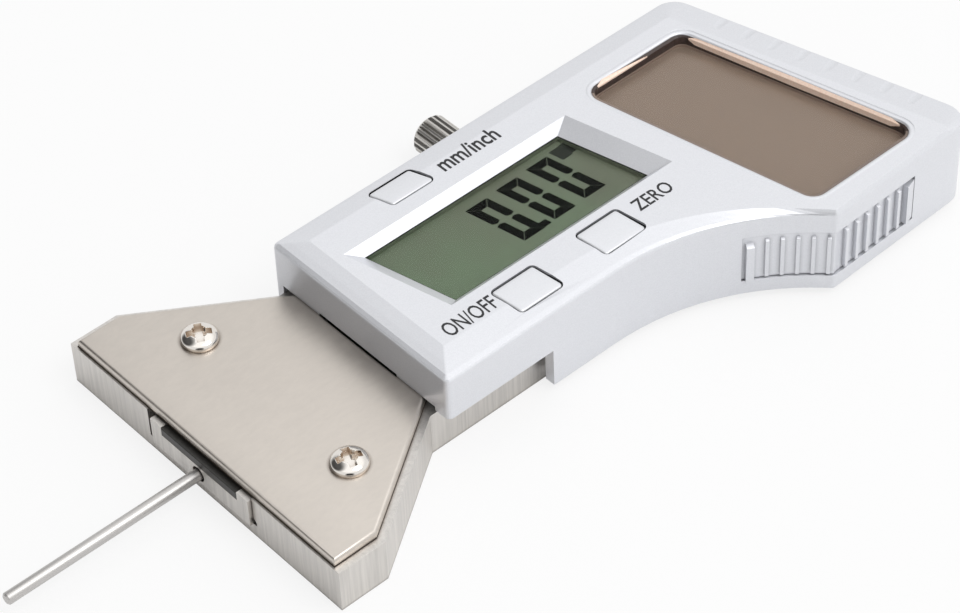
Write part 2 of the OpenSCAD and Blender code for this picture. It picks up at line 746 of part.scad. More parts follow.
module housing() {
    color("gainsboro")
    difference() {
        union() {
            difference() {
                housing_form();
                translate([0, 0, -cut]) linear_extrude(roof_z + cut) polygon(outline(even(wall)));
            }
            // seats under the two windows
            translate([lcd_x - panel_l / 2, lcd_y - panel_w / 2, seat_z])
                cube([panel_l, panel_w, crown - roof / 2 - seat_z]);
            translate([0, 0, seat_z]) linear_extrude(crown - roof / 2 - seat_z)
                polygon(rounded(solar_corners(cell_margin), solar_r, 5));
            // screw posts
            for (p = housing_screw_xy)
                translate([p[0], p[1], board_top]) cylinder(d = boss_d, h = crown - roof / 2 - board_top);
            for (p = back_screw_xy)
                translate([p[0], p[1], cover_top]) cylinder(d = boss_d, h = crown - roof / 2 - cover_top);
        }
        // the front part stands over the stem; only the lock side keeps its skirt there
        block([front_x - cut, -near_y - cut, -cut],
            [front_x + notch_l, -stem_w / 2 - skirt_gap, front_skirt_z]);
        block([front_x - cut, -stem_w / 2 - 2 * skirt_gap, -cut],
            [front_x + notch_l, stem_w / 2 + skirt_gap, frame_t]);
        // the front wall stands on the plate
        block([front_x - cut, -stem_w / 2 - 2 * skirt_gap, frame_t - cut],
            [front_x + wall + cut, stem_w / 2 + skirt_gap, plate_top + seat_gap]);
        block([front_x - cut, -vent_w / 2, plate_top - cut],
            [front_x + wall + cut, vent_w / 2, plate_top + vent_h]);
        // display and solar windows
        funnel(lcd_window, lcd_recess, crown - lens_drop, crown);
        translate([0, 0, seat_z - cut]) linear_extrude(roof + seat_drop) polygon(lcd_window);
        translate([0, 0, seat_z - cut]) linear_extrude(roof + seat_drop + cut)
            polygon(rounded(solar_corners(0), solar_r, 5));
        funnel(rounded(solar_corners(0), solar_r, 5),
            rounded(solar_corners(solar_lip), solar_r + solar_lip, 5), crown - solar_lip_h, crown);
        // buttons
        for (s = button_specs) button_prism(s, button_gap, roof_z - cut, roof + 2 * cut);
        finger_scallops();
        // pocket for the side grip
        grip_band(grip_depth, cut, grip_z, grip_h, 0);
        // way out for the beam, and clearance round the lock screw
        beam_way();
        rod_y([lock_x, stem_w / 2, lock_z], lock_d + 4 * free_gap, 2 * cut + wall);
        // screw holes
        for (p = housing_screw_xy)
            translate([p[0], p[1], board_top - cut])
                cylinder(d = small_d + 2 * thread_gap, h = cut + bite + bite_room);
        for (p = back_screw_xy)
            translate([p[0], p[1], housing_z])
                cylinder(d = small_d + 2 * thread_gap, h = 3 * back_t + bite_room);
    }
}

// The space that the beam and its thumb pad move through behind the frame
module beam_way() {
    block([frame_l, beam_near - free_gap, -cut],
        [rear_x + belly_y, beam_far + free_gap, frame_t + slide_gap]);
}

// Flat lid that closes the underside beside and behind the stem
module back_cover() {
    gap = 0.1;
    start_x = belly_x - cover_reach;
    color("gainsboro")
    difference() {
        translate([0, 0, housing_z + gap]) linear_extrude(back_t - gap)
            difference() {
                polygon(outline(even(wall + gap)));
                translate([0, -stem_w / 2 - gap]) square([frame_l + gap, stem_w + near_y]);
                translate([0, -belly_y]) square([start_x, belly_y]);
                // open behind the frame, for the beam
                translate([frame_l, beam_near - free_gap]) square([belly_y, stem_w]);
            }
        for (p = back_screw_xy) {
            translate([p[0], p[1], housing_z - cut])
                cylinder(d = small_d + 2 * thread_gap, h = back_t + 2 * cut);
            translate([p[0], p[1], housing_z + gap - cut])
                cylinder(d = small_head_d + 2 * thread_gap, h = back_t / 2 + cut);
        }
    }
}

// Small flat-topped screw seen from below: head down, shank up
module small_screw(l, head_h) {
    difference() {
        union() {
            cylinder(d = small_head_d, h = head_h);
            cylinder(d = small_d, h = l);
        }
        for (a = [0, 90])
            rotate(a) translate([-small_head_d * 0.3, -small_d / 8, -cut])
                cube([small_head_d * 0.6, small_d / 4, cut + head_h / 2]);
    }
}

module back_cover_screws() {
    color("silver")
    for (p = back_screw_xy)
        translate([p[0], p[1], housing_z + back_t / 10]) small_screw(3 * back_t, back_t / 2 - 4 * seat_gap);
}

module housing_screws() {
    color("silver")
    for (p = housing_screw_xy)
        translate([p[0], p[1], 2 * seat_gap]) small_screw(board_top + bite, small_head_h);
}

module side_grip() {
    gap = 0.05;
    z = grip_z + gap;
    h = grip_h - 2 * gap;
    rib_z = grip_z + rib_short;
    rib_h = grip_h - 2 * rib_short;
    deep = grip_depth - gap;
    color("gainsboro")
    union() {
        difference() {
            grip_band(deep, 0, z, h, gap);
            grip_band(deep - grip_base, cut, z - cut, h + 2 * cut, -cut);
        }
        waist_bar(post_turn, post_w, deep, post_proud, rib_z, rib_h);
        for (i = [0:rib_count - 1])
            waist_bar(first_rib - i * rib_turn, rib_w, deep - gap, rib_proud, rib_z, rib_h);
        for (i = [0:flank_ribs - 1])
            flank_bar(first_flank_rib + i * rib_pitch, rib_w, deep - gap, rib_proud, rib_z, rib_h);
        end_wedge(grip_l - gap, deep, rib_z, rib_h);
    }
}

module lcd_lens() {
    color([0.85, 0.9, 0.88, 0.4])
    translate([0, 0, seat_z]) linear_extrude(seat_drop - lens_drop)
        polygon(slanted(lcd_x, lcd_y, lcd_l - 2 * seat_gap, lcd_w - 2 * seat_gap, lcd_slant));
}

module lcd_panel() {
    color("darkseagreen")
    translate([lcd_x - panel_l / 2, lcd_y - panel_w / 2, panel_z]) cube([panel_l, panel_w, panel_t]);
}

module zebra_strips() {
    strip = 1.6;
    rim = 0.4;
    short = 1;
    color("dimgray")
    for (y = [lcd_y - panel_w / 2 + rim, lcd_y + panel_w / 2 - rim - strip])
        block([lcd_x - panel_l / 2 + short, y, board_top],
            [lcd_x + panel_l / 2 - short, y + strip, panel_z]);
}

module solar_window() {
    color([0.8, 0.75, 0.7, 0.4])
    translate([0, 0, seat_z]) linear_extrude(seat_drop - 1.5 * solar_drop)
        polygon(rounded(solar_corners(-seat_gap), solar_r, 5));
}

module solar_cell() {
    color("rosybrown")
    translate([0, 0, seat_z - cell_t]) linear_extrude(cell_t)
        polygon(rounded(solar_corners(cell_margin), solar_r, 5));
}

module button(spec) {
    wing_z = roof_z - wing_gap - wing_h;
    color("whitesmoke")
    union() {
        intersection() {
            button_prism(spec, 0, wing_z, crown);
            translate([front_x, 0, 0]) along_x(rear_x - front_x) crown_section(button_proud);
        }
        intersection() {
            button_prism(spec, button_wing, wing_z, wing_h);
            block([0, spec[1] - spec[2] / 2, 0], [rear_x, spec[1] + spec[2] / 2, crown]);
        }
        translate([spec[0], spec[1], board_top + dome_h + button_travel + dome_gap])
            cylinder(d = post_d, h = wing_z - board_top - dome_h - button_travel);
    }
}

module units_button() { button(units_spec); }
module zero_button() { button(zero_spec); }
module power_button() { button(power_spec); }

module button_domes() {
    rim = 0.15;
    color("silver")
    for (s = button_specs)
        translate([s[0], dome_y(s), board_top])
            rotate_extrude() polygon([[0, 0], [dome_d / 2, 0], [dome_d / 2, rim],
                [dome_d * 0.35, dome_h * 0.75], [dome_d * 0.18, dome_h], [0, dome_h]]);
}
function dome_y(s) = sign(s[1]) * min(abs(s[1]), stem_w / 2 - dome_d / 2 - 2 * dome_gap);

module circuit_board() {
    lobe_x = belly_x + lobe_in;
    board_x = plate_l + board_short;
    board_end = frame_l - board_short;
    half = stem_w / 2 - dome_gap;
    color("darkgreen")
    difference() {
        translate([0, 0, board_z]) linear_extrude(board_t) {
            translate([board_x, -half]) square([board_end - board_x, 2 * half]);
            translate([lobe_x, -belly_y + 2 * wall]) square([lobe_l, belly_y - 2 * wall]);
        }
        for (p = concat(housing_screw_xy, board_screw_xy))
            translate([p[0], p[1], board_z - cut])
                cylinder(d = small_d + 4 * thread_gap, h = board_t + 2 * cut);
    }
}

module board_screws() {
    head_h = 0.9;
    color("silver")
    for (p = board_screw_xy)
        translate([p[0], p[1], board_top])
            pan_screw(small_d, board_t + board_thread * thread_share, small_head_d, head_h,
                small_head_d * 0.16, small_head_d * 0.6);
}

// Drop of resin over the chip: a wide foot and a smaller crown
module processor() {
    color([0.1, 0.1, 0.1])
    translate([front_x + processor_in, -processor_w / 2, board_top])
        for (inset = [0, 1])
            linear_extrude((1 + inset) * processor_h / 2)
                polygon(rounded([[inset, inset], [processor_l - inset, inset],
                    [processor_l - inset, processor_w - inset], [inset, processor_w - inset]],
                    processor_w / 4, 5));
}

module storage_capacitor() {
    gap = 0.05;
    room = belly_y - wall - stem_w / 2;
    step = 0.6;
    top = board_z - cover_top - 2 * gap;
    color("silver")
    translate([belly_x + capacitor_back, -stem_w / 2 - room / 2, cover_top + gap])
        rotate_extrude() polygon([[0, 0], [capacitor_d / 2, 0], [capacitor_d / 2, top - step],
            [capacitor_d / 2 - step, top], [0, top]]);
}

base_frame();
cover_plate();
cover_screws();
beam();
scale_strip();
depth_rod();
thumb_pad();
gib_strip();
gib_screws();
lock_screw();
lock_pad();
housing();
back_cover();
back_cover_screws();
housing_screws();
side_grip();
lcd_lens();
lcd_panel();
zebra_strips();
solar_window();
solar_cell();
units_button();
zero_button();
power_button();
button_domes();
circuit_board();
board_screws();
processor();
storage_capacitor();
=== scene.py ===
# %% [markdown]
# # A digital depth gauge
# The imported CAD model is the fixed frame: every piece already has its place and its size, in
# metres, with X running from the measuring face to the rear and Z = 0 on the underside. This
# lesson dresses it: finishes for steel, paint and glass, the marks on the display, and a few
# pieces whose small roundings a plain solid doesn't show.

# %% Load the frame
import json
import math

import bmesh
import bpy
from mathutils import Matrix, Vector
from mathutils.bvhtree import BVHTree


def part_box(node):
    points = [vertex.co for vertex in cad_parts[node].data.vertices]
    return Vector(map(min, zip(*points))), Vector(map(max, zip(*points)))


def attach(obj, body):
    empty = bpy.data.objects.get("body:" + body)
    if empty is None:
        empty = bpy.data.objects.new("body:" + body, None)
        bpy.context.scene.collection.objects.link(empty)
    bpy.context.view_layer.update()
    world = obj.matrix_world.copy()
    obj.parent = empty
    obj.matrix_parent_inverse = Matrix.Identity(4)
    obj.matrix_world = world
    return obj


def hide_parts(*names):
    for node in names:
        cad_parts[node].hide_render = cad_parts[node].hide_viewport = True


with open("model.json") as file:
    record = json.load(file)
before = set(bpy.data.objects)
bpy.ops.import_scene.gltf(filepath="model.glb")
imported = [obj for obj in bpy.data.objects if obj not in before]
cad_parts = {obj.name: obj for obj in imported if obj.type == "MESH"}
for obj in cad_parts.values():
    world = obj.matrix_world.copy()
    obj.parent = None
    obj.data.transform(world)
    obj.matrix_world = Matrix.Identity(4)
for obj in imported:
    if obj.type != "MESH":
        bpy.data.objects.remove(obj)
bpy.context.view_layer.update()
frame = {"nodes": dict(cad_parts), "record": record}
nodes = frame["nodes"]
MM = 0.001

# %% [markdown]
# ## The camera
# The photograph was taken with a long lens from the front left, about 45 degrees down, and the
# camera leans a little to one side. Straight edges of the foot and the housing give its place,
# so it is set from four facts: where it stands, the point it looks at, its lean and its lens.

# %% Camera
CAMERA_PLACE = Vector((-125.1454, -196.2456, 253.9769)) * MM
LOOKED_AT = Vector((36.17, -3.38, 5.0)) * MM
CAMERA_LEAN = -0.047977
LENS = 121.87


def aimed(place, target, lean):
    """World matrix of a camera at place that looks at target, leaning by an angle."""
    forward = (target - place).normalized()
    right = forward.cross(Vector((0, 0, 1))).normalized()
    up = right.cross(forward)
    leaning = math.cos(lean) * right + math.sin(lean) * up
    upright = math.cos(lean) * up - math.sin(lean) * right
    turn = Matrix((leaning, upright, -forward)).transposed()
    return Matrix.Translation(place) @ turn.to_4x4()


camera_data = bpy.data.cameras.new("camera")
camera_data.lens = LENS
camera_data.sensor_width = 36
camera_data.clip_start, camera_data.clip_end = 0.01, 20
camera = bpy.data.objects.new("camera", camera_data)
camera.matrix_world = aimed(CAMERA_PLACE, LOOKED_AT, CAMERA_LEAN)
bpy.context.scene.collection.objects.link(camera)
bpy.context.scene.camera = camera
print("camera to gauge:", round((LOOKED_AT - CAMERA_PLACE).length / MM), "mm")

# %% [markdown]
# ## Helpers for materials
# A material is a small network of nodes. Three helpers keep the networks short: one adds a node
# with its settings, one spreads a range of values over another, and one wires outputs into
# inputs. Groups are networks that several materials share, with named inputs and outputs, so
# each effect is built once.


# %% Node helpers
def add(tree, kind, **settings):
    """A new node in the tree. Names that match an input socket fill that socket."""
    node = tree.nodes.new(kind)
    for name, value in settings.items():
        if hasattr(node, name):
            setattr(node, name, value)
        else:
            node.inputs[name.replace("_", " ")].default_value = value
    return node


def ramp(tree, levels=(0, 1), values=(0, 1), **settings):
    """A map range node that spreads one range of values over another."""
    node = add(tree, "ShaderNodeMapRange", **settings)
    for socket, value in zip(("From Min", "From Max", "To Min", "To Max"), (*levels, *values)):
        node.inputs[socket].default_value = value
    return node


def wire(tree, *pairs):
    """Wires (output socket, input socket) pairs."""
    for out, into in pairs:
        tree.links.new(out, into)


def new_group(name, inputs, outputs):
    """An empty node group with (name, kind, default) inputs and (name, kind) outputs."""
    group = bpy.data.node_groups.new(name, "ShaderNodeTree")
    for label, kind, default in inputs:
        socket = group.interface.new_socket(label, in_out="INPUT", socket_type=kind)
        socket.default_value = default
    for label, kind in outputs:
        group.interface.new_socket(label, in_out="OUTPUT", socket_type=kind)
    start, end = group.nodes.new("NodeGroupInput"), group.nodes.new("NodeGroupOutput")
    return group, start.outputs, end.inputs


def place(tree, group, **values):
    """A group placed in a material, with its own values."""
    node = tree.nodes.new("ShaderNodeGroup")
    node.node_tree = group
    for name, value in values.items():
        node.inputs[name.replace("_", " ")].default_value = value
    return node


FLOAT, VECTOR, COLOR = "NodeSocketFloat", "NodeSocketVector", "NodeSocketColor"
# A mix node has a pair of sockets for each kind of value; these are the colours and the numbers.
COLOUR_A, COLOUR_B, COLOUR_OUT, NUMBER_A, NUMBER_B = 6, 7, 2, 2, 3

# %% [markdown]
# ## Shared effects
# - **drawn lines**: the fine parallel lines that grinding, brushing and drawing leave in steel.
#   Noise is stretched hard along one direction, in real metres, so the lines have a real width.
# - **clouds**: slow, soft patches from handling, which change roughness and tone a little.
# - **flakes**: the tiny bright and dark grains of metallic paint.
# - **hollow shade**: darkens the colour where light hardly reaches: painted shade in corners.
# - **small bumps**: turns any height into a normal.

# %% Group: drawn lines
group, g_in, g_out = new_group(
    "drawn_lines", [("Stretch", VECTOR, (1, 1, 1)), ("Scale", FLOAT, 1000.0)],
    [("Lines", FLOAT), ("Wide lines", FLOAT)])
lines_group = group
at = add(group, "ShaderNodeTexCoord")
stretched = add(group, "ShaderNodeVectorMath", operation="MULTIPLY")
fine = add(group, "ShaderNodeTexNoise", Detail=4.0, Roughness=0.65)
wide = add(group, "ShaderNodeTexNoise", Detail=2.0)
coarser = add(group, "ShaderNodeMath", operation="MULTIPLY")
coarser.inputs[1].default_value = 0.4
wire(group, (at.outputs["Object"], stretched.inputs[0]), (g_in["Stretch"], stretched.inputs[1]),
     (stretched.outputs[0], fine.inputs["Vector"]), (stretched.outputs[0], wide.inputs["Vector"]),
     (g_in["Scale"], fine.inputs["Scale"]), (g_in["Scale"], coarser.inputs[0]),
     (coarser.outputs[0], wide.inputs["Scale"]))
for noise, output in ((fine, "Lines"), (wide, "Wide lines")):
    spread = ramp(group, (0.34, 0.66))
    wire(group, (noise.outputs["Fac"], spread.inputs["Value"]), (spread.outputs["Result"], g_out[output]))
print("drawn lines:", len(group.nodes), "nodes")

# %% Group: clouds
group, g_in, g_out = new_group(
    "clouds", [("Scale", FLOAT, 60.0), ("Low", FLOAT, 0.0), ("High", FLOAT, 1.0)], [("Value", FLOAT)])
clouds_group = group
at = add(group, "ShaderNodeTexCoord")
cloud = add(group, "ShaderNodeTexNoise", Detail=3.0, Roughness=0.55)
spread = ramp(group, (0.3, 0.7))
wire(group, (at.outputs["Object"], cloud.inputs["Vector"]), (g_in["Scale"], cloud.inputs["Scale"]),
     (cloud.outputs["Fac"], spread.inputs["Value"]), (g_in["Low"], spread.inputs["To Min"]),
     (g_in["High"], spread.inputs["To Max"]), (spread.outputs["Result"], g_out["Value"]))
print("clouds:", len(group.nodes), "nodes")

# %% Group: flakes
group, g_in, g_out = new_group(
    "flakes", [("Scale", FLOAT, 9000.0), ("Dark", COLOR, (0.5, 0.5, 0.5, 1)),
               ("Light", COLOR, (0.8, 0.8, 0.8, 1))], [("Color", COLOR), ("Mask", FLOAT)])
flakes_group = group
at = add(group, "ShaderNodeTexCoord")
cells = add(group, "ShaderNodeTexVoronoi")
grey = add(group, "ShaderNodeSeparateColor")
tint = add(group, "ShaderNodeMix", data_type="RGBA")
wire(group, (at.outputs["Object"], cells.inputs["Vector"]), (g_in["Scale"], cells.inputs["Scale"]),
     (cells.outputs["Color"], grey.inputs[0]), (grey.outputs[0], tint.inputs[0]),
     (g_in["Dark"], tint.inputs[COLOUR_A]), (g_in["Light"], tint.inputs[COLOUR_B]),
     (tint.outputs[COLOUR_OUT], g_out["Color"]), (grey.outputs[0], g_out["Mask"]))
print("flakes:", len(group.nodes), "nodes")

# %% Group: hollow shade (painted shade in corners)
group, g_in, g_out = new_group(
    "hollow_shade", [("Reach", FLOAT, 0.0006), ("Open", COLOR, (1, 1, 1, 1)), ("Hollow", COLOR, (0, 0, 0, 1))],
    [("Color", COLOR)])
hollow_shade_group = group
shade = add(group, "ShaderNodeAmbientOcclusion", samples=8)
tint = add(group, "ShaderNodeMix", data_type="RGBA")
wire(group, (g_in["Reach"], shade.inputs["Distance"]), (shade.outputs["AO"], tint.inputs[0]),
     (g_in["Hollow"], tint.inputs[COLOUR_A]), (g_in["Open"], tint.inputs[COLOUR_B]),
     (tint.outputs[COLOUR_OUT], g_out["Color"]))
print("hollows:", len(group.nodes), "nodes")

# %% Group: small bumps
group, g_in, g_out = new_group(
    "small_bumps", [("Height", FLOAT, 0.0), ("Strength", FLOAT, 0.1), ("Depth", FLOAT, 0.00002)],
    [("Normal", VECTOR)])
bumps_group = group
bump = add(group, "ShaderNodeBump")
wire(group, (g_in["Height"], bump.inputs["Height"]), (g_in["Strength"], bump.inputs["Strength"]),
     (g_in["Depth"], bump.inputs["Distance"]), (bump.outputs["Normal"], g_out["Normal"]))
print("shared effects:", [g.name for g in bpy.data.node_groups])

# %% [markdown]
# ## Finishes
# The foot is stainless steel: the frame is ground across its front face, the cover plate is
# brushed sheet, the rod is drawn wire, the screws are nickel plated. All of them are one idea
# with different lines: a metal whose tone, roughness and normal follow the drawn lines.


# %% Metal
def new_material(name):
    """A material, its node tree and its shader."""
    material = bpy.data.materials.new(name)
    material.use_nodes = True
    tree = material.node_tree
    return material, tree, tree.nodes["Principled BSDF"]


def metal(name, tone, spread_of_tone, roughness, stretch, scale, depth, patches=0.05,
          hollow=(0.1, 0.07, 0.05), reach=0.0004):
    """Steel with drawn lines. stretch is small along the lines; roughness is (low, high)."""
    material, tree, shader = new_material(name)
    lines = place(tree, lines_group, Stretch=stretch, Scale=scale)
    cloud = place(tree, clouds_group, Scale=120.0, Low=-patches, High=patches)
    both, mixed = (add(tree, "ShaderNodeMath", operation="MULTIPLY_ADD") for k in range(2))
    both.inputs[1].default_value = mixed.inputs[1].default_value = 0.5
    darker = [c * (1 - spread_of_tone) for c in tone] + [1]
    lighter = [min(1, c * (1 + spread_of_tone)) for c in tone] + [1]
    colour = add(tree, "ShaderNodeMix", data_type="RGBA")
    colour.inputs[COLOUR_A].default_value, colour.inputs[COLOUR_B].default_value = darker, lighter
    rough = ramp(tree, values=roughness)
    bumps = place(tree, bumps_group, Strength=0.5, Depth=depth)
    wire(tree, (lines.outputs["Lines"], both.inputs[0]), (cloud.outputs[0], both.inputs[2]),
         (lines.outputs["Wide lines"], mixed.inputs[0]), (both.outputs[0], mixed.inputs[2]),
         (mixed.outputs[0], colour.inputs[0]), (mixed.outputs[0], rough.inputs["Value"]),
         (rough.outputs[0], shader.inputs["Roughness"]), (lines.outputs["Lines"], bumps.inputs["Height"]),
         (bumps.outputs[0], shader.inputs["Normal"]))
    # The hollow colour paints shade into corners and creases.
    corners = place(tree, hollow_shade_group, Reach=reach, Hollow=(*hollow, 1))
    wire(tree, (colour.outputs[COLOUR_OUT], corners.inputs["Open"]),
         (corners.outputs[0], shader.inputs["Base Color"]))
    shader.inputs["Metallic"].default_value = 1.0
    return material


UPRIGHT, ALONG, ACROSS, SPECKED, EVEN = (1, 1, 0.03), (0.03, 1, 1), (1, 0.1, 1), (0.5, 1, 1), (1, 1, 1)
DEEP_LINES = 0.00001
finish = {
    "frame_steel": metal("ground_steel", (0.695, 0.67, 0.64), 0.13, (0.3, 0.44), UPRIGHT, 4200,
                         DEEP_LINES),
    "plate_steel": metal("brushed_plate", (0.665, 0.616, 0.563), 0.04, (0.34, 0.42), SPECKED, 2200,
                         0.000003, patches=0.35),
    "rod_steel": metal("drawn_rod", (0.6, 0.585, 0.57), 0.08, (0.34, 0.46), ALONG, 3000, 0.000006),
    "knurled_steel": metal("turned_knob", (0.66, 0.64, 0.61), 0.15, (0.28, 0.4), ACROSS, 2400, DEEP_LINES,
                           hollow=(0.12, 0.105, 0.09), reach=0.0009),
    "bright_screw": metal("nickel_plate", (0.88, 0.84, 0.79), 0.03, (0.06, 0.1), EVEN, 900, 0.000002,
                          hollow=(0.34, 0.23, 0.14), reach=0.0007),
    "dark_screw": metal("black_oxide", (0.06, 0.06, 0.06), 0.2, (0.35, 0.5), EVEN, 900, DEEP_LINES),
    "brass": metal("milled_brass", (0.62, 0.47, 0.2), 0.1, (0.25, 0.4), ALONG, 2200, DEEP_LINES),
}
print("metals:", sorted(finish))

# %% [markdown]
# The housing is plastic with a silver paint: a pale, slightly blue grey full of tiny flakes
# under a thin clear layer. Metallic paint is between plastic and metal, so the shader's metallic
# value is about half way. The same recipe, without the metal, does the plain plastics and the
# board. Small dark marks, such as print, need only one colour: a second recipe does those.


# %% Paint and plastic
def painted(name, dark, light, roughness, coat, flake_scale=11000.0, metallic=0.0, depth=0.000006,
            hollow=0.5):
    """Paint or plastic with a fine grain between two colours; roughness is (low, high)."""
    material, tree, shader = new_material(name)
    flakes = place(tree, flakes_group, Scale=flake_scale, Dark=(*dark, 1), Light=(*light, 1))
    cloud = place(tree, clouds_group, Scale=50.0, Low=roughness[0], High=roughness[1])
    bumps = place(tree, bumps_group, Strength=0.1, Depth=depth)
    # The hollow colour, a darker copy of the paint, paints shade into corners and creases.
    corners = place(tree, hollow_shade_group, Reach=0.0005, Hollow=[c * hollow for c in dark] + [1])
    wire(tree, (flakes.outputs["Color"], corners.inputs["Open"]),
         (corners.outputs[0], shader.inputs["Base Color"]),
         (cloud.outputs[0], shader.inputs["Roughness"]), (flakes.outputs["Mask"], bumps.inputs["Height"]),
         (bumps.outputs[0], shader.inputs["Normal"]))
    shader.inputs["Metallic"].default_value = metallic
    shader.inputs["Coat Weight"].default_value = coat
    shader.inputs["Coat Roughness"].default_value = 0.12
    return material


SATIN, COARSE_GRAIN = (0.3, 0.36), 2500.0
finish["silver_paint"] = painted(
    "silver_paint", (0.735, 0.745, 0.78), (0.785, 0.795, 0.83), SATIN, 0.15, metallic=0.6)
finish["silver_button"] = painted(
    "button_paint", (0.735, 0.745, 0.775), (0.775, 0.785, 0.815), SATIN, 0.15, metallic=0.5)
finish["dark_plastic"] = painted(
    "dark_plastic", (0.012, 0.012, 0.013), (0.02, 0.02, 0.021), (0.45, 0.6), 0, COARSE_GRAIN)
finish["contact_rubber"] = painted(
    "contact_rubber", (0.02, 0.02, 0.02), (0.03, 0.03, 0.03), (0.6, 0.75), 0, COARSE_GRAIN)
finish["black_scale"] = painted(
    "black_laminate", (0.014, 0.013, 0.011), (0.026, 0.024, 0.021), (0.3, 0.42), 0.1, 5000.0)
finish["board"] = painted("green_board", (0.01, 0.07, 0.03), (0.015, 0.09, 0.04), (0.3, 0.4), 0.2, 3000.0)
finish["solar_glass"] = painted(
    "solar_film", (0.315, 0.228, 0.182), (0.33, 0.243, 0.195), (0.3, 0.38), 0.0, COARSE_GRAIN,
    depth=0.0000005, hollow=0.8)
print("paints:", len(finish))


# %% One-colour marks
def plain(name, colour, roughness, scale, specular=0.5):
    """One colour whose roughness varies from spot to spot."""
    material, tree, shader = new_material(name)
    cloud = place(tree, clouds_group, Scale=scale, Low=roughness[0], High=roughness[1])
    wire(tree, (cloud.outputs[0], shader.inputs["Roughness"]))
    shader.inputs["Base Color"].default_value = (*colour, 1)
    shader.inputs["Specular IOR Level"].default_value = specular
    return material


# A dark brown for the seam under the plate: painted shade.
seam_shade = plain("painted_seam_shade", (0.035, 0.022, 0.014), (0.5, 0.7), 500.0)
digit_ink = plain("crystal_black", (0.0015, 0.002, 0.0015), (0.3, 0.5), 900.0, specular=0.02)
block_ink = plain("crystal_grey", (0.022, 0.026, 0.021), (0.35, 0.5), 900.0, specular=0.1)
print_ink = plain("printed_black", (0.012, 0.012, 0.014), (0.35, 0.5), 700.0)
print("marks:", [m.name for m in (seam_shade, digit_ink, block_ink, print_ink)])

# %% [markdown]
# The display is a grey-green liquid crystal, greener towards the front corner. A slow gradient
# between two colours, moved by noise, does that; the digits are pieces of their own.

# %% Display
material, tree, shader = new_material("display_glass")
at = add(tree, "ShaderNodeTexCoord")
slope = add(tree, "ShaderNodeVectorMath", operation="DOT_PRODUCT")
slope.inputs[1].default_value = (26.0, 14.0, 0.0)  # per metre: mostly along X
cloud = place(tree, clouds_group, Scale=110.0, Low=-0.3, High=0.3)
total = add(tree, "ShaderNodeMath", operation="ADD")
across = ramp(tree, (0.75, 1.45))
tint = add(tree, "ShaderNodeMix", data_type="RGBA")
GREENISH, GREYISH = (0.132, 0.182, 0.116, 1), (0.128, 0.145, 0.102, 1)
tint.inputs[COLOUR_A].default_value, tint.inputs[COLOUR_B].default_value = GREENISH, GREYISH
wire(tree, (at.outputs["Object"], slope.inputs[0]), (slope.outputs["Value"], total.inputs[0]),
     (cloud.outputs[0], total.inputs[1]), (total.outputs[0], across.inputs["Value"]),
     (across.outputs["Result"], tint.inputs[0]), (tint.outputs[COLOUR_OUT], shader.inputs["Base Color"]))
cloud = place(tree, clouds_group, Scale=60.0, Low=0.3, High=0.36)
wire(tree, (cloud.outputs[0], shader.inputs["Roughness"]))
shader.inputs["Specular IOR Level"].default_value = 0.3
finish["display_glass"] = material
print("display:", len(tree.nodes), "nodes")

# %% [markdown]
# The two windows are clear plastic. Real glass in the shader bends the light, so a small gap
# stays between a window and what lies under it: where the two faces touch, it renders black.


# %% Clear plastic
def clear(name, tint, roughness):
    """A clear window with slow waves in its polish."""
    material, tree, shader = new_material(name)
    cloud = place(tree, clouds_group, Scale=90.0, Low=roughness * 0.6, High=roughness)
    wire(tree, (cloud.outputs[0], shader.inputs["Roughness"]))
    shader.inputs["Base Color"].default_value = (*tint, 1)
    shader.inputs["Transmission Weight"].default_value = 1.0
    shader.inputs["IOR"].default_value = 1.1
    return material


finish["clear_lens"] = clear("clear_lens", (0.97, 0.98, 0.96), 0.04)
print("finishes:", len(finish))

# %% [markdown]
# ## Dressing the CAD nodes
# Each node's material slot in the record names its finish. A real edge is never sharp, so a
# narrow bevel catches the light along each one. A weld comes first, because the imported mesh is
# split along its edges, and the bevel would tear it open.

# %% Finishes on nodes
slot_of = {row["node"]: row["material_slot"] for row in frame["record"]["subparts"]}
EDGE = {"base_frame": 0.12, "beam": 0.1, "housing": 0.14, "lock_screw": 0.06, "cover_screws": 0.04}


def soften(obj, width, segments=2, angle=30):
    """Small roundings on every edge sharper than the angle, width in millimetres."""
    weld = obj.modifiers.new("weld", "WELD")
    weld.merge_threshold = 1e-6
    bevel = obj.modifiers.new("edges", "BEVEL")
    bevel.width, bevel.segments = width * MM, segments
    bevel.limit_method, bevel.angle_limit = "ANGLE", math.radians(angle)
    bevel.harden_normals = True


for name, obj in nodes.items():
    obj.data.materials.clear()
    obj.data.materials.append(finish[slot_of[name]])
    soften(obj, EDGE.get(name, 0.05))
print("dressed", len(nodes), "nodes")

# %% [markdown]
# ## Pieces made here
# Flat pieces of this gauge are outlines with a thickness, so one helper turns a loop of corners
# into a slab, one joins several loops into a closed solid, and one draws a section along part of
# a loop. Two more give the outlines: a slanted window, and corners rounded to arcs. All of them
# work in millimetres.


# %% Outline helpers
def piece(name, bm, body, slot, material=None):
    """An object from a bmesh in millimetres, riding on a body with the slot's finish."""
    bmesh.ops.recalc_face_normals(bm, faces=bm.faces)
    bmesh.ops.scale(bm, vec=(MM, MM, MM), verts=bm.verts)
    mesh = bpy.data.meshes.new(name)
    bm.to_mesh(mesh)
    bm.free()
    obj = bpy.data.objects.new(name, mesh)
    bpy.context.scene.collection.objects.link(obj)
    mesh.materials.append(material or finish[slot])
    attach(obj, body)
    return obj


def add_slab(bm, loop, low, high):
    """Adds a closed solid over a loop of (x, y) corners, between two heights."""
    rings = [[bm.verts.new((x, y, z)) for x, y in loop] for z in (low, high)]
    bm.faces.new(rings[0])
    bm.faces.new(rings[1])
    for i in range(len(loop)):
        k = (i + 1) % len(loop)
        bm.faces.new((rings[0][i], rings[0][k], rings[1][k], rings[1][i]))


def slab(loop, low, high):
    """A bmesh with one slab in it."""
    bm = bmesh.new()
    add_slab(bm, loop, low, high)
    return bm


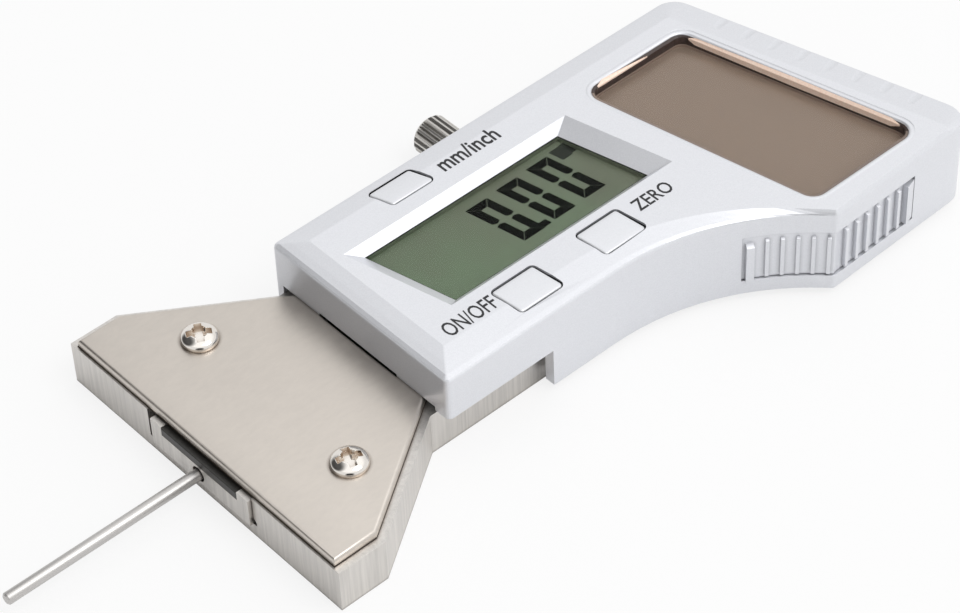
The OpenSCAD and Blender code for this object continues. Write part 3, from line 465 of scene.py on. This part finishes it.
def add_loft(bm, rows):
    """Adds a closed solid through rows of (x, y, z) corners, all rows of one length."""
    rings = [[bm.verts.new(point) for point in row] for row in rows]
    bm.faces.new(rings[0])
    bm.faces.new(rings[-1])
    for low, high in zip(rings, rings[1:]):
        for i in range(len(low)):
            k = (i + 1) % len(low)
            bm.faces.new((low[i], low[k], high[k], high[i]))


def add_band(bm, section, loop_at, first, last):
    """Adds a solid strip along part of a loop: section is a list of (margin, height)."""
    loops = [loop_at(margin) for margin, height in section]
    count = len(loops[0])
    add_loft(bm, [[(*loop[k % count], height) for loop, (margin, height) in zip(loops, section)]
                  for k in range(first, last + 1)])


def shade_smooth(obj):
    """Smooth shading on every face."""
    for face in obj.data.polygons:
        face.use_smooth = True


def slanted(x, y, length, width, slant):
    """Corners of a window whose ends lean: run per unit of width."""
    run = slant * width / 2
    return [(x - length / 2 - run, y + width / 2), (x - length / 2 + run, y - width / 2),
            (x + length / 2 + run, y - width / 2), (x + length / 2 - run, y + width / 2)]


def rounded(corners, radius, steps=6):
    """The same corners, each replaced by an arc; they run anticlockwise."""
    loop = []
    for k, corner in enumerate(corners):
        before, after = Vector(corners[k - 1]), Vector(corners[(k + 1) % len(corners)])
        here = Vector(corner)
        into, out = (here - before).normalized(), (after - here).normalized()
        turn = math.atan2(into.x * out.y - into.y * out.x, into.dot(out))
        centre = here - into * radius * math.tan(turn / 2) + Vector((-into.y, into.x)) * radius
        for i in range(steps + 1):
            angle = math.atan2(into.y, into.x) - math.pi / 2 + turn * i / steps
            loop.append((centre.x + radius * math.cos(angle), centre.y + radius * math.sin(angle)))
    return loop


print("helpers for outlines are ready")

# %% [markdown]
# ## The cover plate
# The plate is pressed sheet: its upper edge is rolled over by the shears, so it is much rounder
# than a machined edge. The CAD plate has the outline; here it gets the rolled edge, by a wide
# bevel on the top outline, all but round the rear notch, and a fine one below. A thin dark slab
# under its edge paints the shade of the seam as a thin dark line along the frame.

# %% Cover plate
plate_low, plate_high = (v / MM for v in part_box("cover_plate"))
END_X, SIDE_SLOPE = 5.9, 10 / 14.8
NOTCH_X, NOTCH_Y = 21.63, 6.4
ROLL, SEAM, SEAM_HEIGHT = 0.42, 0.05, 0.09
half = plate_high.y
half_rear = half - SIDE_SLOPE * (plate_high.x - END_X)
outline = [(plate_low.x, -half), (END_X, -half), (plate_high.x, -half_rear), (plate_high.x, -NOTCH_Y),
           (NOTCH_X, -NOTCH_Y), (NOTCH_X, NOTCH_Y), (plate_high.x, NOTCH_Y), (plate_high.x, half_rear),
           (END_X, half), (plate_low.x, half)]
bm = slab(outline, plate_low.z, plate_high.z)
rolled = [e for e in bm.edges if all(v.co.z > plate_high.z - 0.01 for v in e.verts)
          and any(v.co.x < NOTCH_X - 1 for v in e.verts)]
bmesh.ops.bevel(bm, geom=rolled, offset=ROLL, segments=5, profile=0.5, affect="EDGES", clamp_overlap=True)
plate = piece("rolled_plate", bm, "frame", "plate_steel")
shade_smooth(plate)
soften(plate, 0.08, angle=40)
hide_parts("cover_plate")
# A thin dark slab under the plate's edge: painted shade in the seam.
seam_loop = [(x - SEAM if x < 1 else x, y + math.copysign(SEAM, y) if abs(y) > NOTCH_Y + 1 else y)
             for x, y in outline]
piece("plate_seam", slab(seam_loop, plate_low.z, plate_low.z + SEAM_HEIGHT), "frame", "plate_steel", seam_shade)
print("plate:", len(plate.data.polygons), "faces")

# %% [markdown]
# ## The display
# A clear window sits in the housing, a hair above the liquid crystal, with a dark ring round its
# top, wider on the far and rear sides, that paints the shade along the window's edges, and a line
# of clear glue below, which takes the display's tone. The digits are drawn by the crystal itself,
# on the panel's face: seven-segment figures whose strokes are mitred at the corners, leaning like
# the window. Each stroke is a thin slab.

# %% Display window and digits
WINDOW_FOOT, WINDOW_TOP, PANEL_FACE, SHADE_RING_FOOT, INK = 10.79, 11.5, 10.75, 11.36, 0.02
LCD_X, LCD_Y, LCD_L, LCD_W, LCD_SLANT = 43.5, -0.075, 28.3, 11.65, 0.236


def lcd_loop(far, near, front, rear):
    """Outline of the display's opening, drawn in by four margins."""
    shift = (near - far) / 2
    return slanted(LCD_X + (front - rear) / 2 - LCD_SLANT * shift, LCD_Y + shift,
                   LCD_L - front - rear, LCD_W - near - far, LCD_SLANT)


def lcd_ring(low, high, inner):
    """A thin frame round the display between two heights."""
    bm = bmesh.new()
    loops = (lcd_loop(0.01, 0.005, 0.005, 0.01), lcd_loop(inner, 0.015, 0.015, inner))
    for side, (a, b) in enumerate(zip(*loops)):
        a_next, b_next = (loop[(side + 1) % 4] for loop in loops)
        add_slab(bm, [a, a_next, b_next, b], low, high)
    return bm


bm = slab(lcd_loop(0.13, 0.02, 0.02, 0.13), WINDOW_FOOT, WINDOW_TOP)
window = piece("display_window", bm, "frame", "clear_lens")
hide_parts("lcd_lens")
# A dark ring round the window's top: painted shade along its edges.
piece("display_shade_ring", lcd_ring(SHADE_RING_FOOT, WINDOW_TOP + 0.02, 0.09), "frame", "contact_rubber")
piece("display_glue", lcd_ring(PANEL_FACE + 0.01, SHADE_RING_FOOT - 0.01, 0.12), "frame", "display_glass")

DIGIT_W, DIGIT_H, STROKE, SPLIT, LEAN = 3.15, 7.95, 1.1, 0.035, 0.2
DIGIT_PITCH, DIGIT_RISE, FIRST_DIGIT = 4.66, 0.2, (41.05, 4.2)
POINT = (46.15, -3.2, 0.95, 0.9, LEAN)
WAIST, TIP = DIGIT_H / 2 - 0.35, DIGIT_H / 2 - 0.1


def mirrored(points, across, down):
    """Turns a stroke of the top left quarter into the matching one elsewhere."""
    return [(DIGIT_W - u if across else u, DIGIT_H - v if down else v) for u, v in points]


top_stroke = [(SPLIT, 0), (DIGIT_W - SPLIT, 0), (DIGIT_W - STROKE - SPLIT, STROKE), (STROKE + SPLIT, STROKE)]
side_stroke = [(0, SPLIT), (STROKE, STROKE + SPLIT), (STROKE, WAIST), (STROKE / 2, TIP), (0, WAIST)]
strokes = [top_stroke, mirrored(top_stroke, False, True)] + [
    mirrored(side_stroke, across, down) for across in (False, True) for down in (False, True)]
bm = bmesh.new()
for digit in range(3):
    left, top = FIRST_DIGIT[0] + digit * DIGIT_PITCH, FIRST_DIGIT[1] + digit * DIGIT_RISE
    for stroke in strokes:
        add_slab(bm, [(left + u + LEAN * v, top - v) for u, v in stroke], PANEL_FACE, PANEL_FACE + INK)
add_slab(bm, slanted(*POINT), PANEL_FACE, PANEL_FACE + INK)
digits = piece("display_digits", bm, "frame", "display_glass", digit_ink)
print("digits:", len(digits.data.polygons), "faces")

# %% The little block on the display
INDICATORS = ((55.05, 3.9, 1.5, 2.0, LEAN), (56.5, 4.05, 1.4, 1.9, LEAN))
bm = bmesh.new()
for mark in INDICATORS:
    add_slab(bm, slanted(*mark), PANEL_FACE, PANEL_FACE + INK)
block = piece("display_block", bm, "frame", "display_glass", block_ink)
print("block:", len(block.data.polygons), "faces")

# %% [markdown]
# ## The solar cell's window
# Under the housing's opening lies a brown cell. A dark rim, painted shade in the gap, lines the
# opening's far and rear sides, above a line of glue in the cell's tone, and a pinkish strip, a
# painted reflection on the inner wall, lies over the rim; the near and front sides have a brown
# edge. Outside all of them a rounded bead of painted plastic runs round the opening.

# %% Solar window and rim
SOLAR_X, SOLAR_FAR, SOLAR_NEAR, SOLAR_L = 63.15, 8.15, 21.55, 14.7
FRONT_SLANT, REAR_SLANT, SOLAR_R, ARC_STEPS = 0.2, 0.236, 1.3, 6
SPAN = SOLAR_FAR + SOLAR_NEAR
CORNER = ARC_STEPS + 1
LOOP = 4 * CORNER
FAR_LESS, REAR_LESS, LIP_WIDTH = 0.2, 0.3, 0.42
GLUE_FOOT, GLUE_TOP, RIM_FOOT, LIP_LOW = 10.77, 11.1, 11.11, 12.12


def solar_loop(margin):
    """Outline of the opening, grown by a margin, less on the far and rear sides."""
    grown = min(max(margin, 0) / LIP_WIDTH, 1)
    far, rear = margin - FAR_LESS * grown, margin - REAR_LESS * grown
    corners = [
        (SOLAR_X - margin - FRONT_SLANT * far, SOLAR_FAR + far),
        (SOLAR_X - margin + FRONT_SLANT * (SPAN + margin), -SOLAR_NEAR - margin),
        (SOLAR_X + SOLAR_L + rear + REAR_SLANT * (SPAN + margin), -SOLAR_NEAR - margin),
        (SOLAR_X + SOLAR_L + rear - REAR_SLANT * far, SOLAR_FAR + far)]
    return rounded(corners, SOLAR_R + max(margin, 0), ARC_STEPS)


def tinted(name, dark, light, low, high):
    """A matt finish with a fine grain."""
    material, tree, shader = new_material(name)
    flakes = place(tree, flakes_group, Scale=6000.0, Dark=(*dark, 1), Light=(*light, 1))
    cloud = place(tree, clouds_group, Scale=400.0, Low=low, High=high)
    wire(tree, (flakes.outputs["Color"], shader.inputs["Base Color"]),
         (cloud.outputs[0], shader.inputs["Roughness"]))
    return material


COVER_INSET, COVER_LOW, COVER_HIGH, COVER_EDGE = 0.2, 10.8, 10.95, 0.03
cover = piece("solar_cover", slab(solar_loop(-COVER_INSET), COVER_LOW, COVER_HIGH), "frame", "clear_lens")
cover.modifiers.new("edges", "BEVEL").width = COVER_EDGE * MM
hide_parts("solar_window")
strip_paint = tinted("painted_wall_reflection", (0.95, 0.7, 0.56), (1.0, 0.8, 0.67), 0.5, 0.6)
rim_shade = tinted("painted_rim_shade", (0.04, 0.025, 0.022), (0.06, 0.04, 0.035), 0.3, 0.4)
brown_edge = tinted("brown_edge", (0.21, 0.16, 0.13), (0.23, 0.175, 0.145), 0.3, 0.4)
NEAR_REAR, FAR_FRONT = 2 * CORNER + 3, LOOP + 3
RIM = [(0.0, RIM_FOOT), (0.0, 12.1), (0.5, 12.3), (0.47, 12.33), (-0.03, LIP_LOW), (-0.03, RIM_FOOT)]
GLUE = [(0.0, GLUE_FOOT), (0.0, GLUE_TOP), (-0.08, GLUE_TOP), (-0.08, GLUE_FOOT)]
EDGING = [(0.0, 12.08), (LIP_WIDTH, 12.26), (0.4, 12.29), (-0.02, LIP_LOW)]


def solar_band(name, section, first, last, slot, material=None):
    """A piece along part of the opening."""
    bm = bmesh.new()
    add_band(bm, section, solar_loop, first, last)
    piece(name, bm, "frame", slot, material)


# A dark rim on the far and rear sides: painted shade in the gap.
solar_band("solar_shade_rim", RIM, NEAR_REAR, FAR_FRONT, "contact_rubber", rim_shade)
solar_band("solar_glue", GLUE, NEAR_REAR, FAR_FRONT, "solar_glass")
print("solar opening:", LOOP, "corners")

# %% Strip of painted reflection
STRIP_TOP, STRIP_ROOT, REAR_FOOT, FAR_FOOT = 12.13, 12.0, 11.4, 11.97
LIP = ((0.46, 0.19), (0.6, 0.35), (0.58, 0.37), (0.44, 0.23))


def add_strip(bm, start, end, stops, low):
    """A pinkish strip of painted reflection on a straight side between two corners of the loop; each stop is
    (run, fullness).
    """
    rows = []
    for run, full in stops:
        foot = STRIP_ROOT - (STRIP_ROOT - low) * full
        lip = [(margin * full, STRIP_TOP + rise * full) for margin, rise in LIP]
        section = [(-0.01, foot), (-0.01, STRIP_TOP), *lip, (-0.05, 12.17), (-0.05, foot)]
        rows.append([(*Vector(solar_loop(margin)[start]).lerp(Vector(solar_loop(margin)[end]), run), height)
                     for margin, height in section])
    add_loft(bm, rows)


REAR_STOPS = ((0.0, 0.1), (0.04, 0.9), (0.5, 1.0), (0.97, 0.8), (1.0, 0.1))
FAR_STOPS = ((0.0, 0.3), (0.08, 1.0), (0.35, 0.7), (0.64, 0.05))
bm = bmesh.new()
add_strip(bm, 3 * CORNER - 1, 3 * CORNER, REAR_STOPS, REAR_FOOT)
add_strip(bm, 0, LOOP - 1, FAR_STOPS, FAR_FOOT)
# The pinkish strip on the far and rear inner walls: a painted reflection.
reflection_piece = piece("solar_wall_reflection", bm, "frame", "contact_rubber", strip_paint)
print("foam:", len(reflection_piece.data.polygons), "faces")

# %% Edge and bead
solar_band("solar_edge", EDGING, 3, NEAR_REAR, "solar_glass", brown_edge)
BEAD = [(0.48, 12.26), (0.5, 12.36), (0.6, 12.47), (0.76, 12.53), (0.95, 12.53), (1.15, 12.49),
        (1.25, 12.45), (1.0, 12.4)]
bm = bmesh.new()
rings = [[bm.verts.new((*corner, height)) for corner in solar_loop(margin)] for margin, height in BEAD]
for a, b in zip(rings, rings[1:] + rings[:1]):
    for i in range(LOOP):
        k = (i + 1) % LOOP
        bm.faces.new((a[i], a[k], b[k], b[i]))
bead = piece("solar_bead", bm, "frame", "silver_paint")
shade_smooth(bead)
print("bead:", len(bead.data.polygons), "faces")

# %% [markdown]
# ## The buttons
# Each button is a pillow: flat in the middle, rounded towards its outline, and sinking a little
# where the housing's own bevel begins. Below the roof it has the CAD button's wing and post. A
# black ring stands in the gap round it and paints the gap's shade, so the gap stays dark; the gap
# is narrower on the near and front sides.

# %% Buttons
BUTTONS = {"units_button": ("units_key", 37.55, 10.8, 3.3, 0.3, 1),
           "zero_button": ("zero_key", 49.25, -10.35, 4.3, 0.15, -1),
           "power_button": ("power_key", 36.8, -10.55, 4.3, 0.15, -1)}
BUTTON_L, BUTTON_R, BUTTON_TOP, BUTTON_GAP, LEAST_R = 6.0, 0.4, 12.6, 0.2, 0.08
SHY, WIDER, SINK = 0.12, 0.07, 0.2
POST_LOW, POST_IN, WING_LOW, WING_HIGH, WING = 7.75, 1.3, 10.2, 11.1, 0.6
GAP_SHADE_LOW, GAP_SHADE_HIGH = 11.25, 12.2
PILLOW = ((0, 0.18), (0.03, 0.09), (0.09, 0.035), (0.2, 0.01), (0.5, 0), (1.2, 0))


def button_loop(x, y, width, slant, inset):
    """The outline of a button, drawn in by an inset."""
    corners = slanted(x, y, BUTTON_L - 2 * inset, width - 2 * inset, slant)
    return rounded(corners, max(BUTTON_R - inset, LEAST_R), 4)


def cap_loop(x, y, width, slant, inset):
    """The outline of the cap: drawn in on its far and rear sides, wider on the others."""
    shift = (SHY + WIDER) / 2
    return button_loop(x - shift, y - shift, width, slant, inset + (SHY - WIDER) / 2)


for name, (body, x, y, width, slant, outward) in BUTTONS.items():
    shape = (x, y, width, slant)
    inner_y = y - outward * width / 2
    flat_rows = [(button_loop(*shape, POST_IN), POST_LOW), (button_loop(*shape, POST_IN), WING_LOW),
                 (button_loop(*shape, -WING), WING_LOW), (button_loop(*shape, -WING), WING_HIGH),
                 (cap_loop(*shape, 0), WING_HIGH)]
    rows = [[(u, v, height) for u, v in loop] for loop, height in flat_rows]
    for inset, drop in PILLOW:
        rows.append([(u, v, BUTTON_TOP - SINK * ((v - inner_y) / width) ** 2 - drop)
                     for u, v in cap_loop(*shape, inset)])
    bm = bmesh.new()
    add_loft(bm, rows)
    button = piece(name + "_cap", bm, body, "silver_button")
    shade_smooth(button)
    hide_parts(name)
    # A black ring in the gap round the cap: painted shade.
    bm = bmesh.new()
    outer, inner = (button_loop(*shape, -margin) for margin in (BUTTON_GAP - 0.01, BUTTON_GAP - 0.05))
    for i in range(len(outer)):
        k = (i + 1) % len(outer)
        add_slab(bm, [outer[i], outer[k], inner[k], inner[i]], GAP_SHADE_LOW, GAP_SHADE_HIGH)
    piece(name + "_gap_shade", bm, "frame", "dark_plastic")
print("buttons:", len(BUTTONS))

# %% [markdown]
# ## The side grip
# The ribbed insert follows the waist's arc and then the flank. Its face lies a little below the
# wall, deeper along the flank than on the arc. Each rib ends in a slanted tip, which catches the
# light from above.

# %% Side grip
WAIST_C, WAIST_R = Vector((45.729, -45.8)), 31.0
BELLY, FLANK_TILT, FLANK_L = Vector((68.95, -25.25)), math.radians(1.6), 12.85
GRIP_LOW, GRIP_HIGH, GRIP_BACK, WAIST_FACE, FLANK_FACE = 2.95, 9.35, 0.75, 0.24, 0.36
ARC_FIRST, ARC_LAST, ARC_PARTS = 60.51, 43.0, 12
CORNER_OUT = Vector((0.423, 1.0126))
along = Vector((math.cos(FLANK_TILT), math.sin(FLANK_TILT)))
inward = Vector((-along.y, along.x))


def on_waist(degrees, depth, side=0.0):
    """A point at a depth below the waist's wall, moved sideways along the arc."""
    out = Vector((math.cos(math.radians(degrees)), math.sin(math.radians(degrees))))
    return WAIST_C + out * (WAIST_R + depth) + Vector((out.y, -out.x)) * side


def on_flank(run, depth, side=0.0):
    """A point at a depth below the flank's wall, at a run behind the belly's corner."""
    return BELLY + along * (run + side) + inward * depth


def add_rib(bm, at, width, deep, proud, low, high, tip):
    """A rib with a slanted top: at(depth, side) gives its plan."""
    plan = [at(deep, -width / 2), at(-proud, -width / 2), at(-proud, width / 2), at(deep, width / 2)]
    add_loft(bm, [[(*plan[k], low) for k in range(4)],
                  [(*plan[k], high - (tip if k in (1, 2) else 0)) for k in range(4)]])


arc = [ARC_FIRST + (ARC_LAST - ARC_FIRST) * k / ARC_PARTS for k in range(ARC_PARTS + 1)]
face_line, back_line = (
    [on_waist(angle, on_arc) for angle in arc]
    + [BELLY + CORNER_OUT * on_arc, on_flank(start, behind), on_flank(FLANK_L, behind)]
    for on_arc, start, behind in ((WAIST_FACE, 0.9, FLANK_FACE), (GRIP_BACK, 1.2, GRIP_BACK)))
bm = slab(face_line + back_line[::-1], GRIP_LOW, GRIP_HIGH)

ARC_RIBS, FLANK_RIBS, ARC_RIB_FIRST, FLANK_RIB_FIRST, ARC_DEEP, FLANK_DEEP = 5, 6, 55.4, 1.8, 0.5, 0.6
RIB_W, RIB_PITCH, RIB_LOW, RIB_HIGH, RIB_PROUD, RIB_TIP = 0.46, 1.7, 3.25, 8.85, 0.15, 0.3
for k in range(ARC_RIBS):
    angle = ARC_RIB_FIRST - k * math.degrees(RIB_PITCH / WAIST_R)
    add_rib(bm, lambda depth, side: on_waist(angle, depth, side),
            RIB_W, ARC_DEEP, RIB_PROUD, RIB_LOW, RIB_HIGH, RIB_TIP)
for k in range(FLANK_RIBS):
    run = FLANK_RIB_FIRST + k * RIB_PITCH
    add_rib(bm, lambda depth, side: on_flank(run, depth, side),
            RIB_W, FLANK_DEEP, RIB_PROUD, RIB_LOW, RIB_HIGH + 0.2, RIB_TIP)
# A wider, prouder post stands at the arc's start, and a wedge closes the flank's rear end.
POST_AT, POST_SHAPE = 59, (0.95, 0.6, 0.45, 2.97, 8.5, 0.4)
add_rib(bm, lambda depth, side: on_waist(POST_AT, depth, side), *POST_SHAPE)
WEDGE_L, WEDGE_PROUD, WEDGE_END, WEDGE_TOP = 1.5, 0.45, 0.02, 8.9
wedge = [on_flank(FLANK_L - WEDGE_L, FLANK_DEEP), on_flank(FLANK_L - WEDGE_L, -WEDGE_PROUD),
         on_flank(FLANK_L, WEDGE_END), on_flank(FLANK_L, FLANK_DEEP)]
add_slab(bm, wedge, RIB_LOW, WEDGE_TOP)
grip = piece("ribbed_grip", bm, "frame", "silver_paint")
soften(grip, 0.06, segments=3)
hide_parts("side_grip")
print("grip:", len(grip.data.polygons), "faces")

# %% [markdown]
# ## Words on the housing
# The labels beside the buttons are plain printed words. Blender's own font is turned into a
# mesh, scaled to the width and height that the print has, cut into rows, and laid on the housing
# by dropping each point straight down onto it, so that it follows the bevels too.

# %% Labels
PRINT_THICKNESS, CUTS, ABOVE = 0.015, 16, 20
depsgraph = bpy.context.evaluated_depsgraph_get()
housing_tree = BVHTree.FromObject(nodes["housing"], depsgraph)


def label(name, words, low, high, weight):
    """Words that fill the box between two (x, y) corners; weight thickens the strokes."""
    curve = bpy.data.curves.new(name, "FONT")
    curve.body, curve.size, curve.offset, curve.resolution_u = words, 1.0, weight, 3
    typed = bpy.data.objects.new(name + "_typed", curve)
    mesh = bpy.data.meshes.new_from_object(typed)
    bpy.data.objects.remove(typed)
    bm = bmesh.new()
    bm.from_mesh(mesh)
    bmesh.ops.remove_doubles(bm, verts=bm.verts, dist=1e-5)
    xs, ys = [v.co.x for v in bm.verts], [v.co.y for v in bm.verts]
    for v in bm.verts:
        v.co.x = low[0] + (v.co.x - min(xs)) / (max(xs) - min(xs)) * (high[0] - low[0])
        v.co.y = low[1] + (v.co.y - min(ys)) / (max(ys) - min(ys)) * (high[1] - low[1])
    for k in range(1, CUTS):
        cut = (0, low[1] + (high[1] - low[1]) * k / CUTS, 0)
        everything = bm.verts[:] + bm.edges[:] + bm.faces[:]
        bmesh.ops.bisect_plane(bm, geom=everything, plane_co=cut, plane_no=(0, 1, 0))
    for v in bm.verts:
        hit = housing_tree.ray_cast(Vector((v.co.x, v.co.y, ABOVE)) * MM, Vector((0, 0, -1)))[0]
        v.co.z = hit.z / MM + PRINT_THICKNESS
    return piece(name, bm, "frame", "black_scale", print_ink)


labels = [
    label("units_label", "mm/inch", (42.65, 9.15), (51.05, 11.45), 0.016),
    label("zero_label", "ZERO", (53.69, -10.38), (58.95, -8.5), 0.01),
    label("power_label", "ON/OFF", (26.08, -10.55), (33.05, -8.4), 0.006)]
print("labels:", [obj.name for obj in labels])

# %% [markdown]
# ## The room
# A plain pale floor under plain soft light: a large lamp above the belly's side, and a surround
# that is brighter on that side than in front of the foot. What shines sees a surround of its
# own: brighter overhead than near the horizon, with a dark side at the front left, which the
# front bevel and the screws mirror, and a dark patch low behind the camera. The camera itself
# sees white, and the floor keeps the gauge's soft shadow.

# %% Floor
FLOOR_R, FLOOR_Z, OWN_GLOW = 3, -0.00002, 0.8
floor_mesh = bpy.data.meshes.new("floor")
corners = [(-FLOOR_R, -FLOOR_R), (FLOOR_R, -FLOOR_R), (FLOOR_R, FLOOR_R), (-FLOOR_R, FLOOR_R)]
floor_mesh.from_pydata([(x, y, FLOOR_Z) for x, y in corners], [], [(0, 1, 2, 3)])
floor = bpy.data.objects.new("floor", floor_mesh)
bpy.context.scene.collection.objects.link(floor)
material, tree, shader = new_material("pale_floor")
cloud = place(tree, clouds_group, Scale=3.0, Low=0.85, High=0.9)
wire(tree, (cloud.outputs[0], shader.inputs["Roughness"]))
shader.inputs["Base Color"].default_value = (0.8, 0.8, 0.8, 1)
shader.inputs["Specular IOR Level"].default_value = 0.1
glow = add(tree, "ShaderNodeEmission", Strength=1.0)
mix = add(tree, "ShaderNodeMixShader")
path = add(tree, "ShaderNodeLightPath")
share = add(tree, "ShaderNodeMath", operation="MULTIPLY")
share.inputs[1].default_value = OWN_GLOW
wire(tree, (path.outputs["Is Camera Ray"], share.inputs[0]), (share.outputs[0], mix.inputs[0]),
     (shader.outputs[0], mix.inputs[1]), (glow.outputs[0], mix.inputs[2]),
     (mix.outputs[0], tree.nodes["Material Output"].inputs["Surface"]))
floor.data.materials.append(material)
print("floor:", 2 * FLOOR_R, "m wide")


# %% Lamp
def lamp(name, at, target, size, power):
    """A square soft lamp at a place, aimed at a target, both in metres."""
    data = bpy.data.lights.new(name, "AREA")
    data.shape, data.size, data.energy = "SQUARE", size, power
    obj = bpy.data.objects.new(name, data)
    obj.location = Vector(at)
    obj.rotation_mode = "QUATERNION"
    obj.rotation_quaternion = (Vector(target) - Vector(at)).to_track_quat("-Z", "Y")
    bpy.context.scene.collection.objects.link(obj)


lamp("soft_lamp", at=(0.2, -0.42, 0.75), target=(0.04, 0, 0), size=0.45, power=2.2)
print("lamps:", len(bpy.data.lights))


# %% Surround
def dotted(tree, direction, levels, values):
    """A level that follows how far a ray points in a direction."""
    at = add(tree, "ShaderNodeTexCoord")
    dot = add(tree, "ShaderNodeVectorMath", operation="DOT_PRODUCT")
    dot.inputs[1].default_value = Vector(direction).normalized()
    level = ramp(tree, levels, values, interpolation_type="SMOOTHSTEP")
    wire(tree, (at.outputs["Generated"], dot.inputs[0]), (dot.outputs["Value"], level.inputs["Value"]))
    return level.outputs["Result"]


world = bpy.data.worlds.new("surround")
bpy.context.scene.world = world
world.use_nodes = True
tree = world.node_tree
back = tree.nodes["Background"]
back.inputs["Color"].default_value = (1, 1, 1, 1)
path = add(tree, "ShaderNodeLightPath")
soft_level = dotted(tree, (0.45, -0.4, 0.75), (-0.6, 0.9), (0.12, 1.1))
height = dotted(tree, (0, 0, 1), (0.55, 0.8), (0.85, 1.14))
front = dotted(tree, (-0.45, 0.6, 0.63), (0.71, 0.94), (1.0, 0.08))
camera_side = dotted(tree, (-0.55, -0.65, 0.15), (0.9, 0.97), (1.0, 0.03))
shiny_level = add(tree, "ShaderNodeMath", operation="MULTIPLY")
sides = add(tree, "ShaderNodeMath", operation="MULTIPLY")
by_kind = add(tree, "ShaderNodeMix", data_type="FLOAT")
seen = add(tree, "ShaderNodeMath", operation="MAXIMUM")
final = add(tree, "ShaderNodeMix", data_type="FLOAT")
WHITE = 1.0
final.inputs[NUMBER_B].default_value = WHITE
wire(tree, (front, sides.inputs[0]), (camera_side, sides.inputs[1]),
     (height, shiny_level.inputs[0]), (sides.outputs[0], shiny_level.inputs[1]),
     (path.outputs["Is Glossy Ray"], by_kind.inputs[0]), (soft_level, by_kind.inputs[NUMBER_A]),
     (shiny_level.outputs[0], by_kind.inputs[NUMBER_B]), (path.outputs["Is Camera Ray"], seen.inputs[0]),
     (path.outputs["Is Transmission Ray"], seen.inputs[1]), (seen.outputs[0], final.inputs[0]),
     (by_kind.outputs[0], final.inputs[NUMBER_A]), (final.outputs[0], back.inputs["Strength"]))
bpy.context.scene.view_settings.view_transform = "Standard"
print("surround:", len(tree.nodes), "nodes")
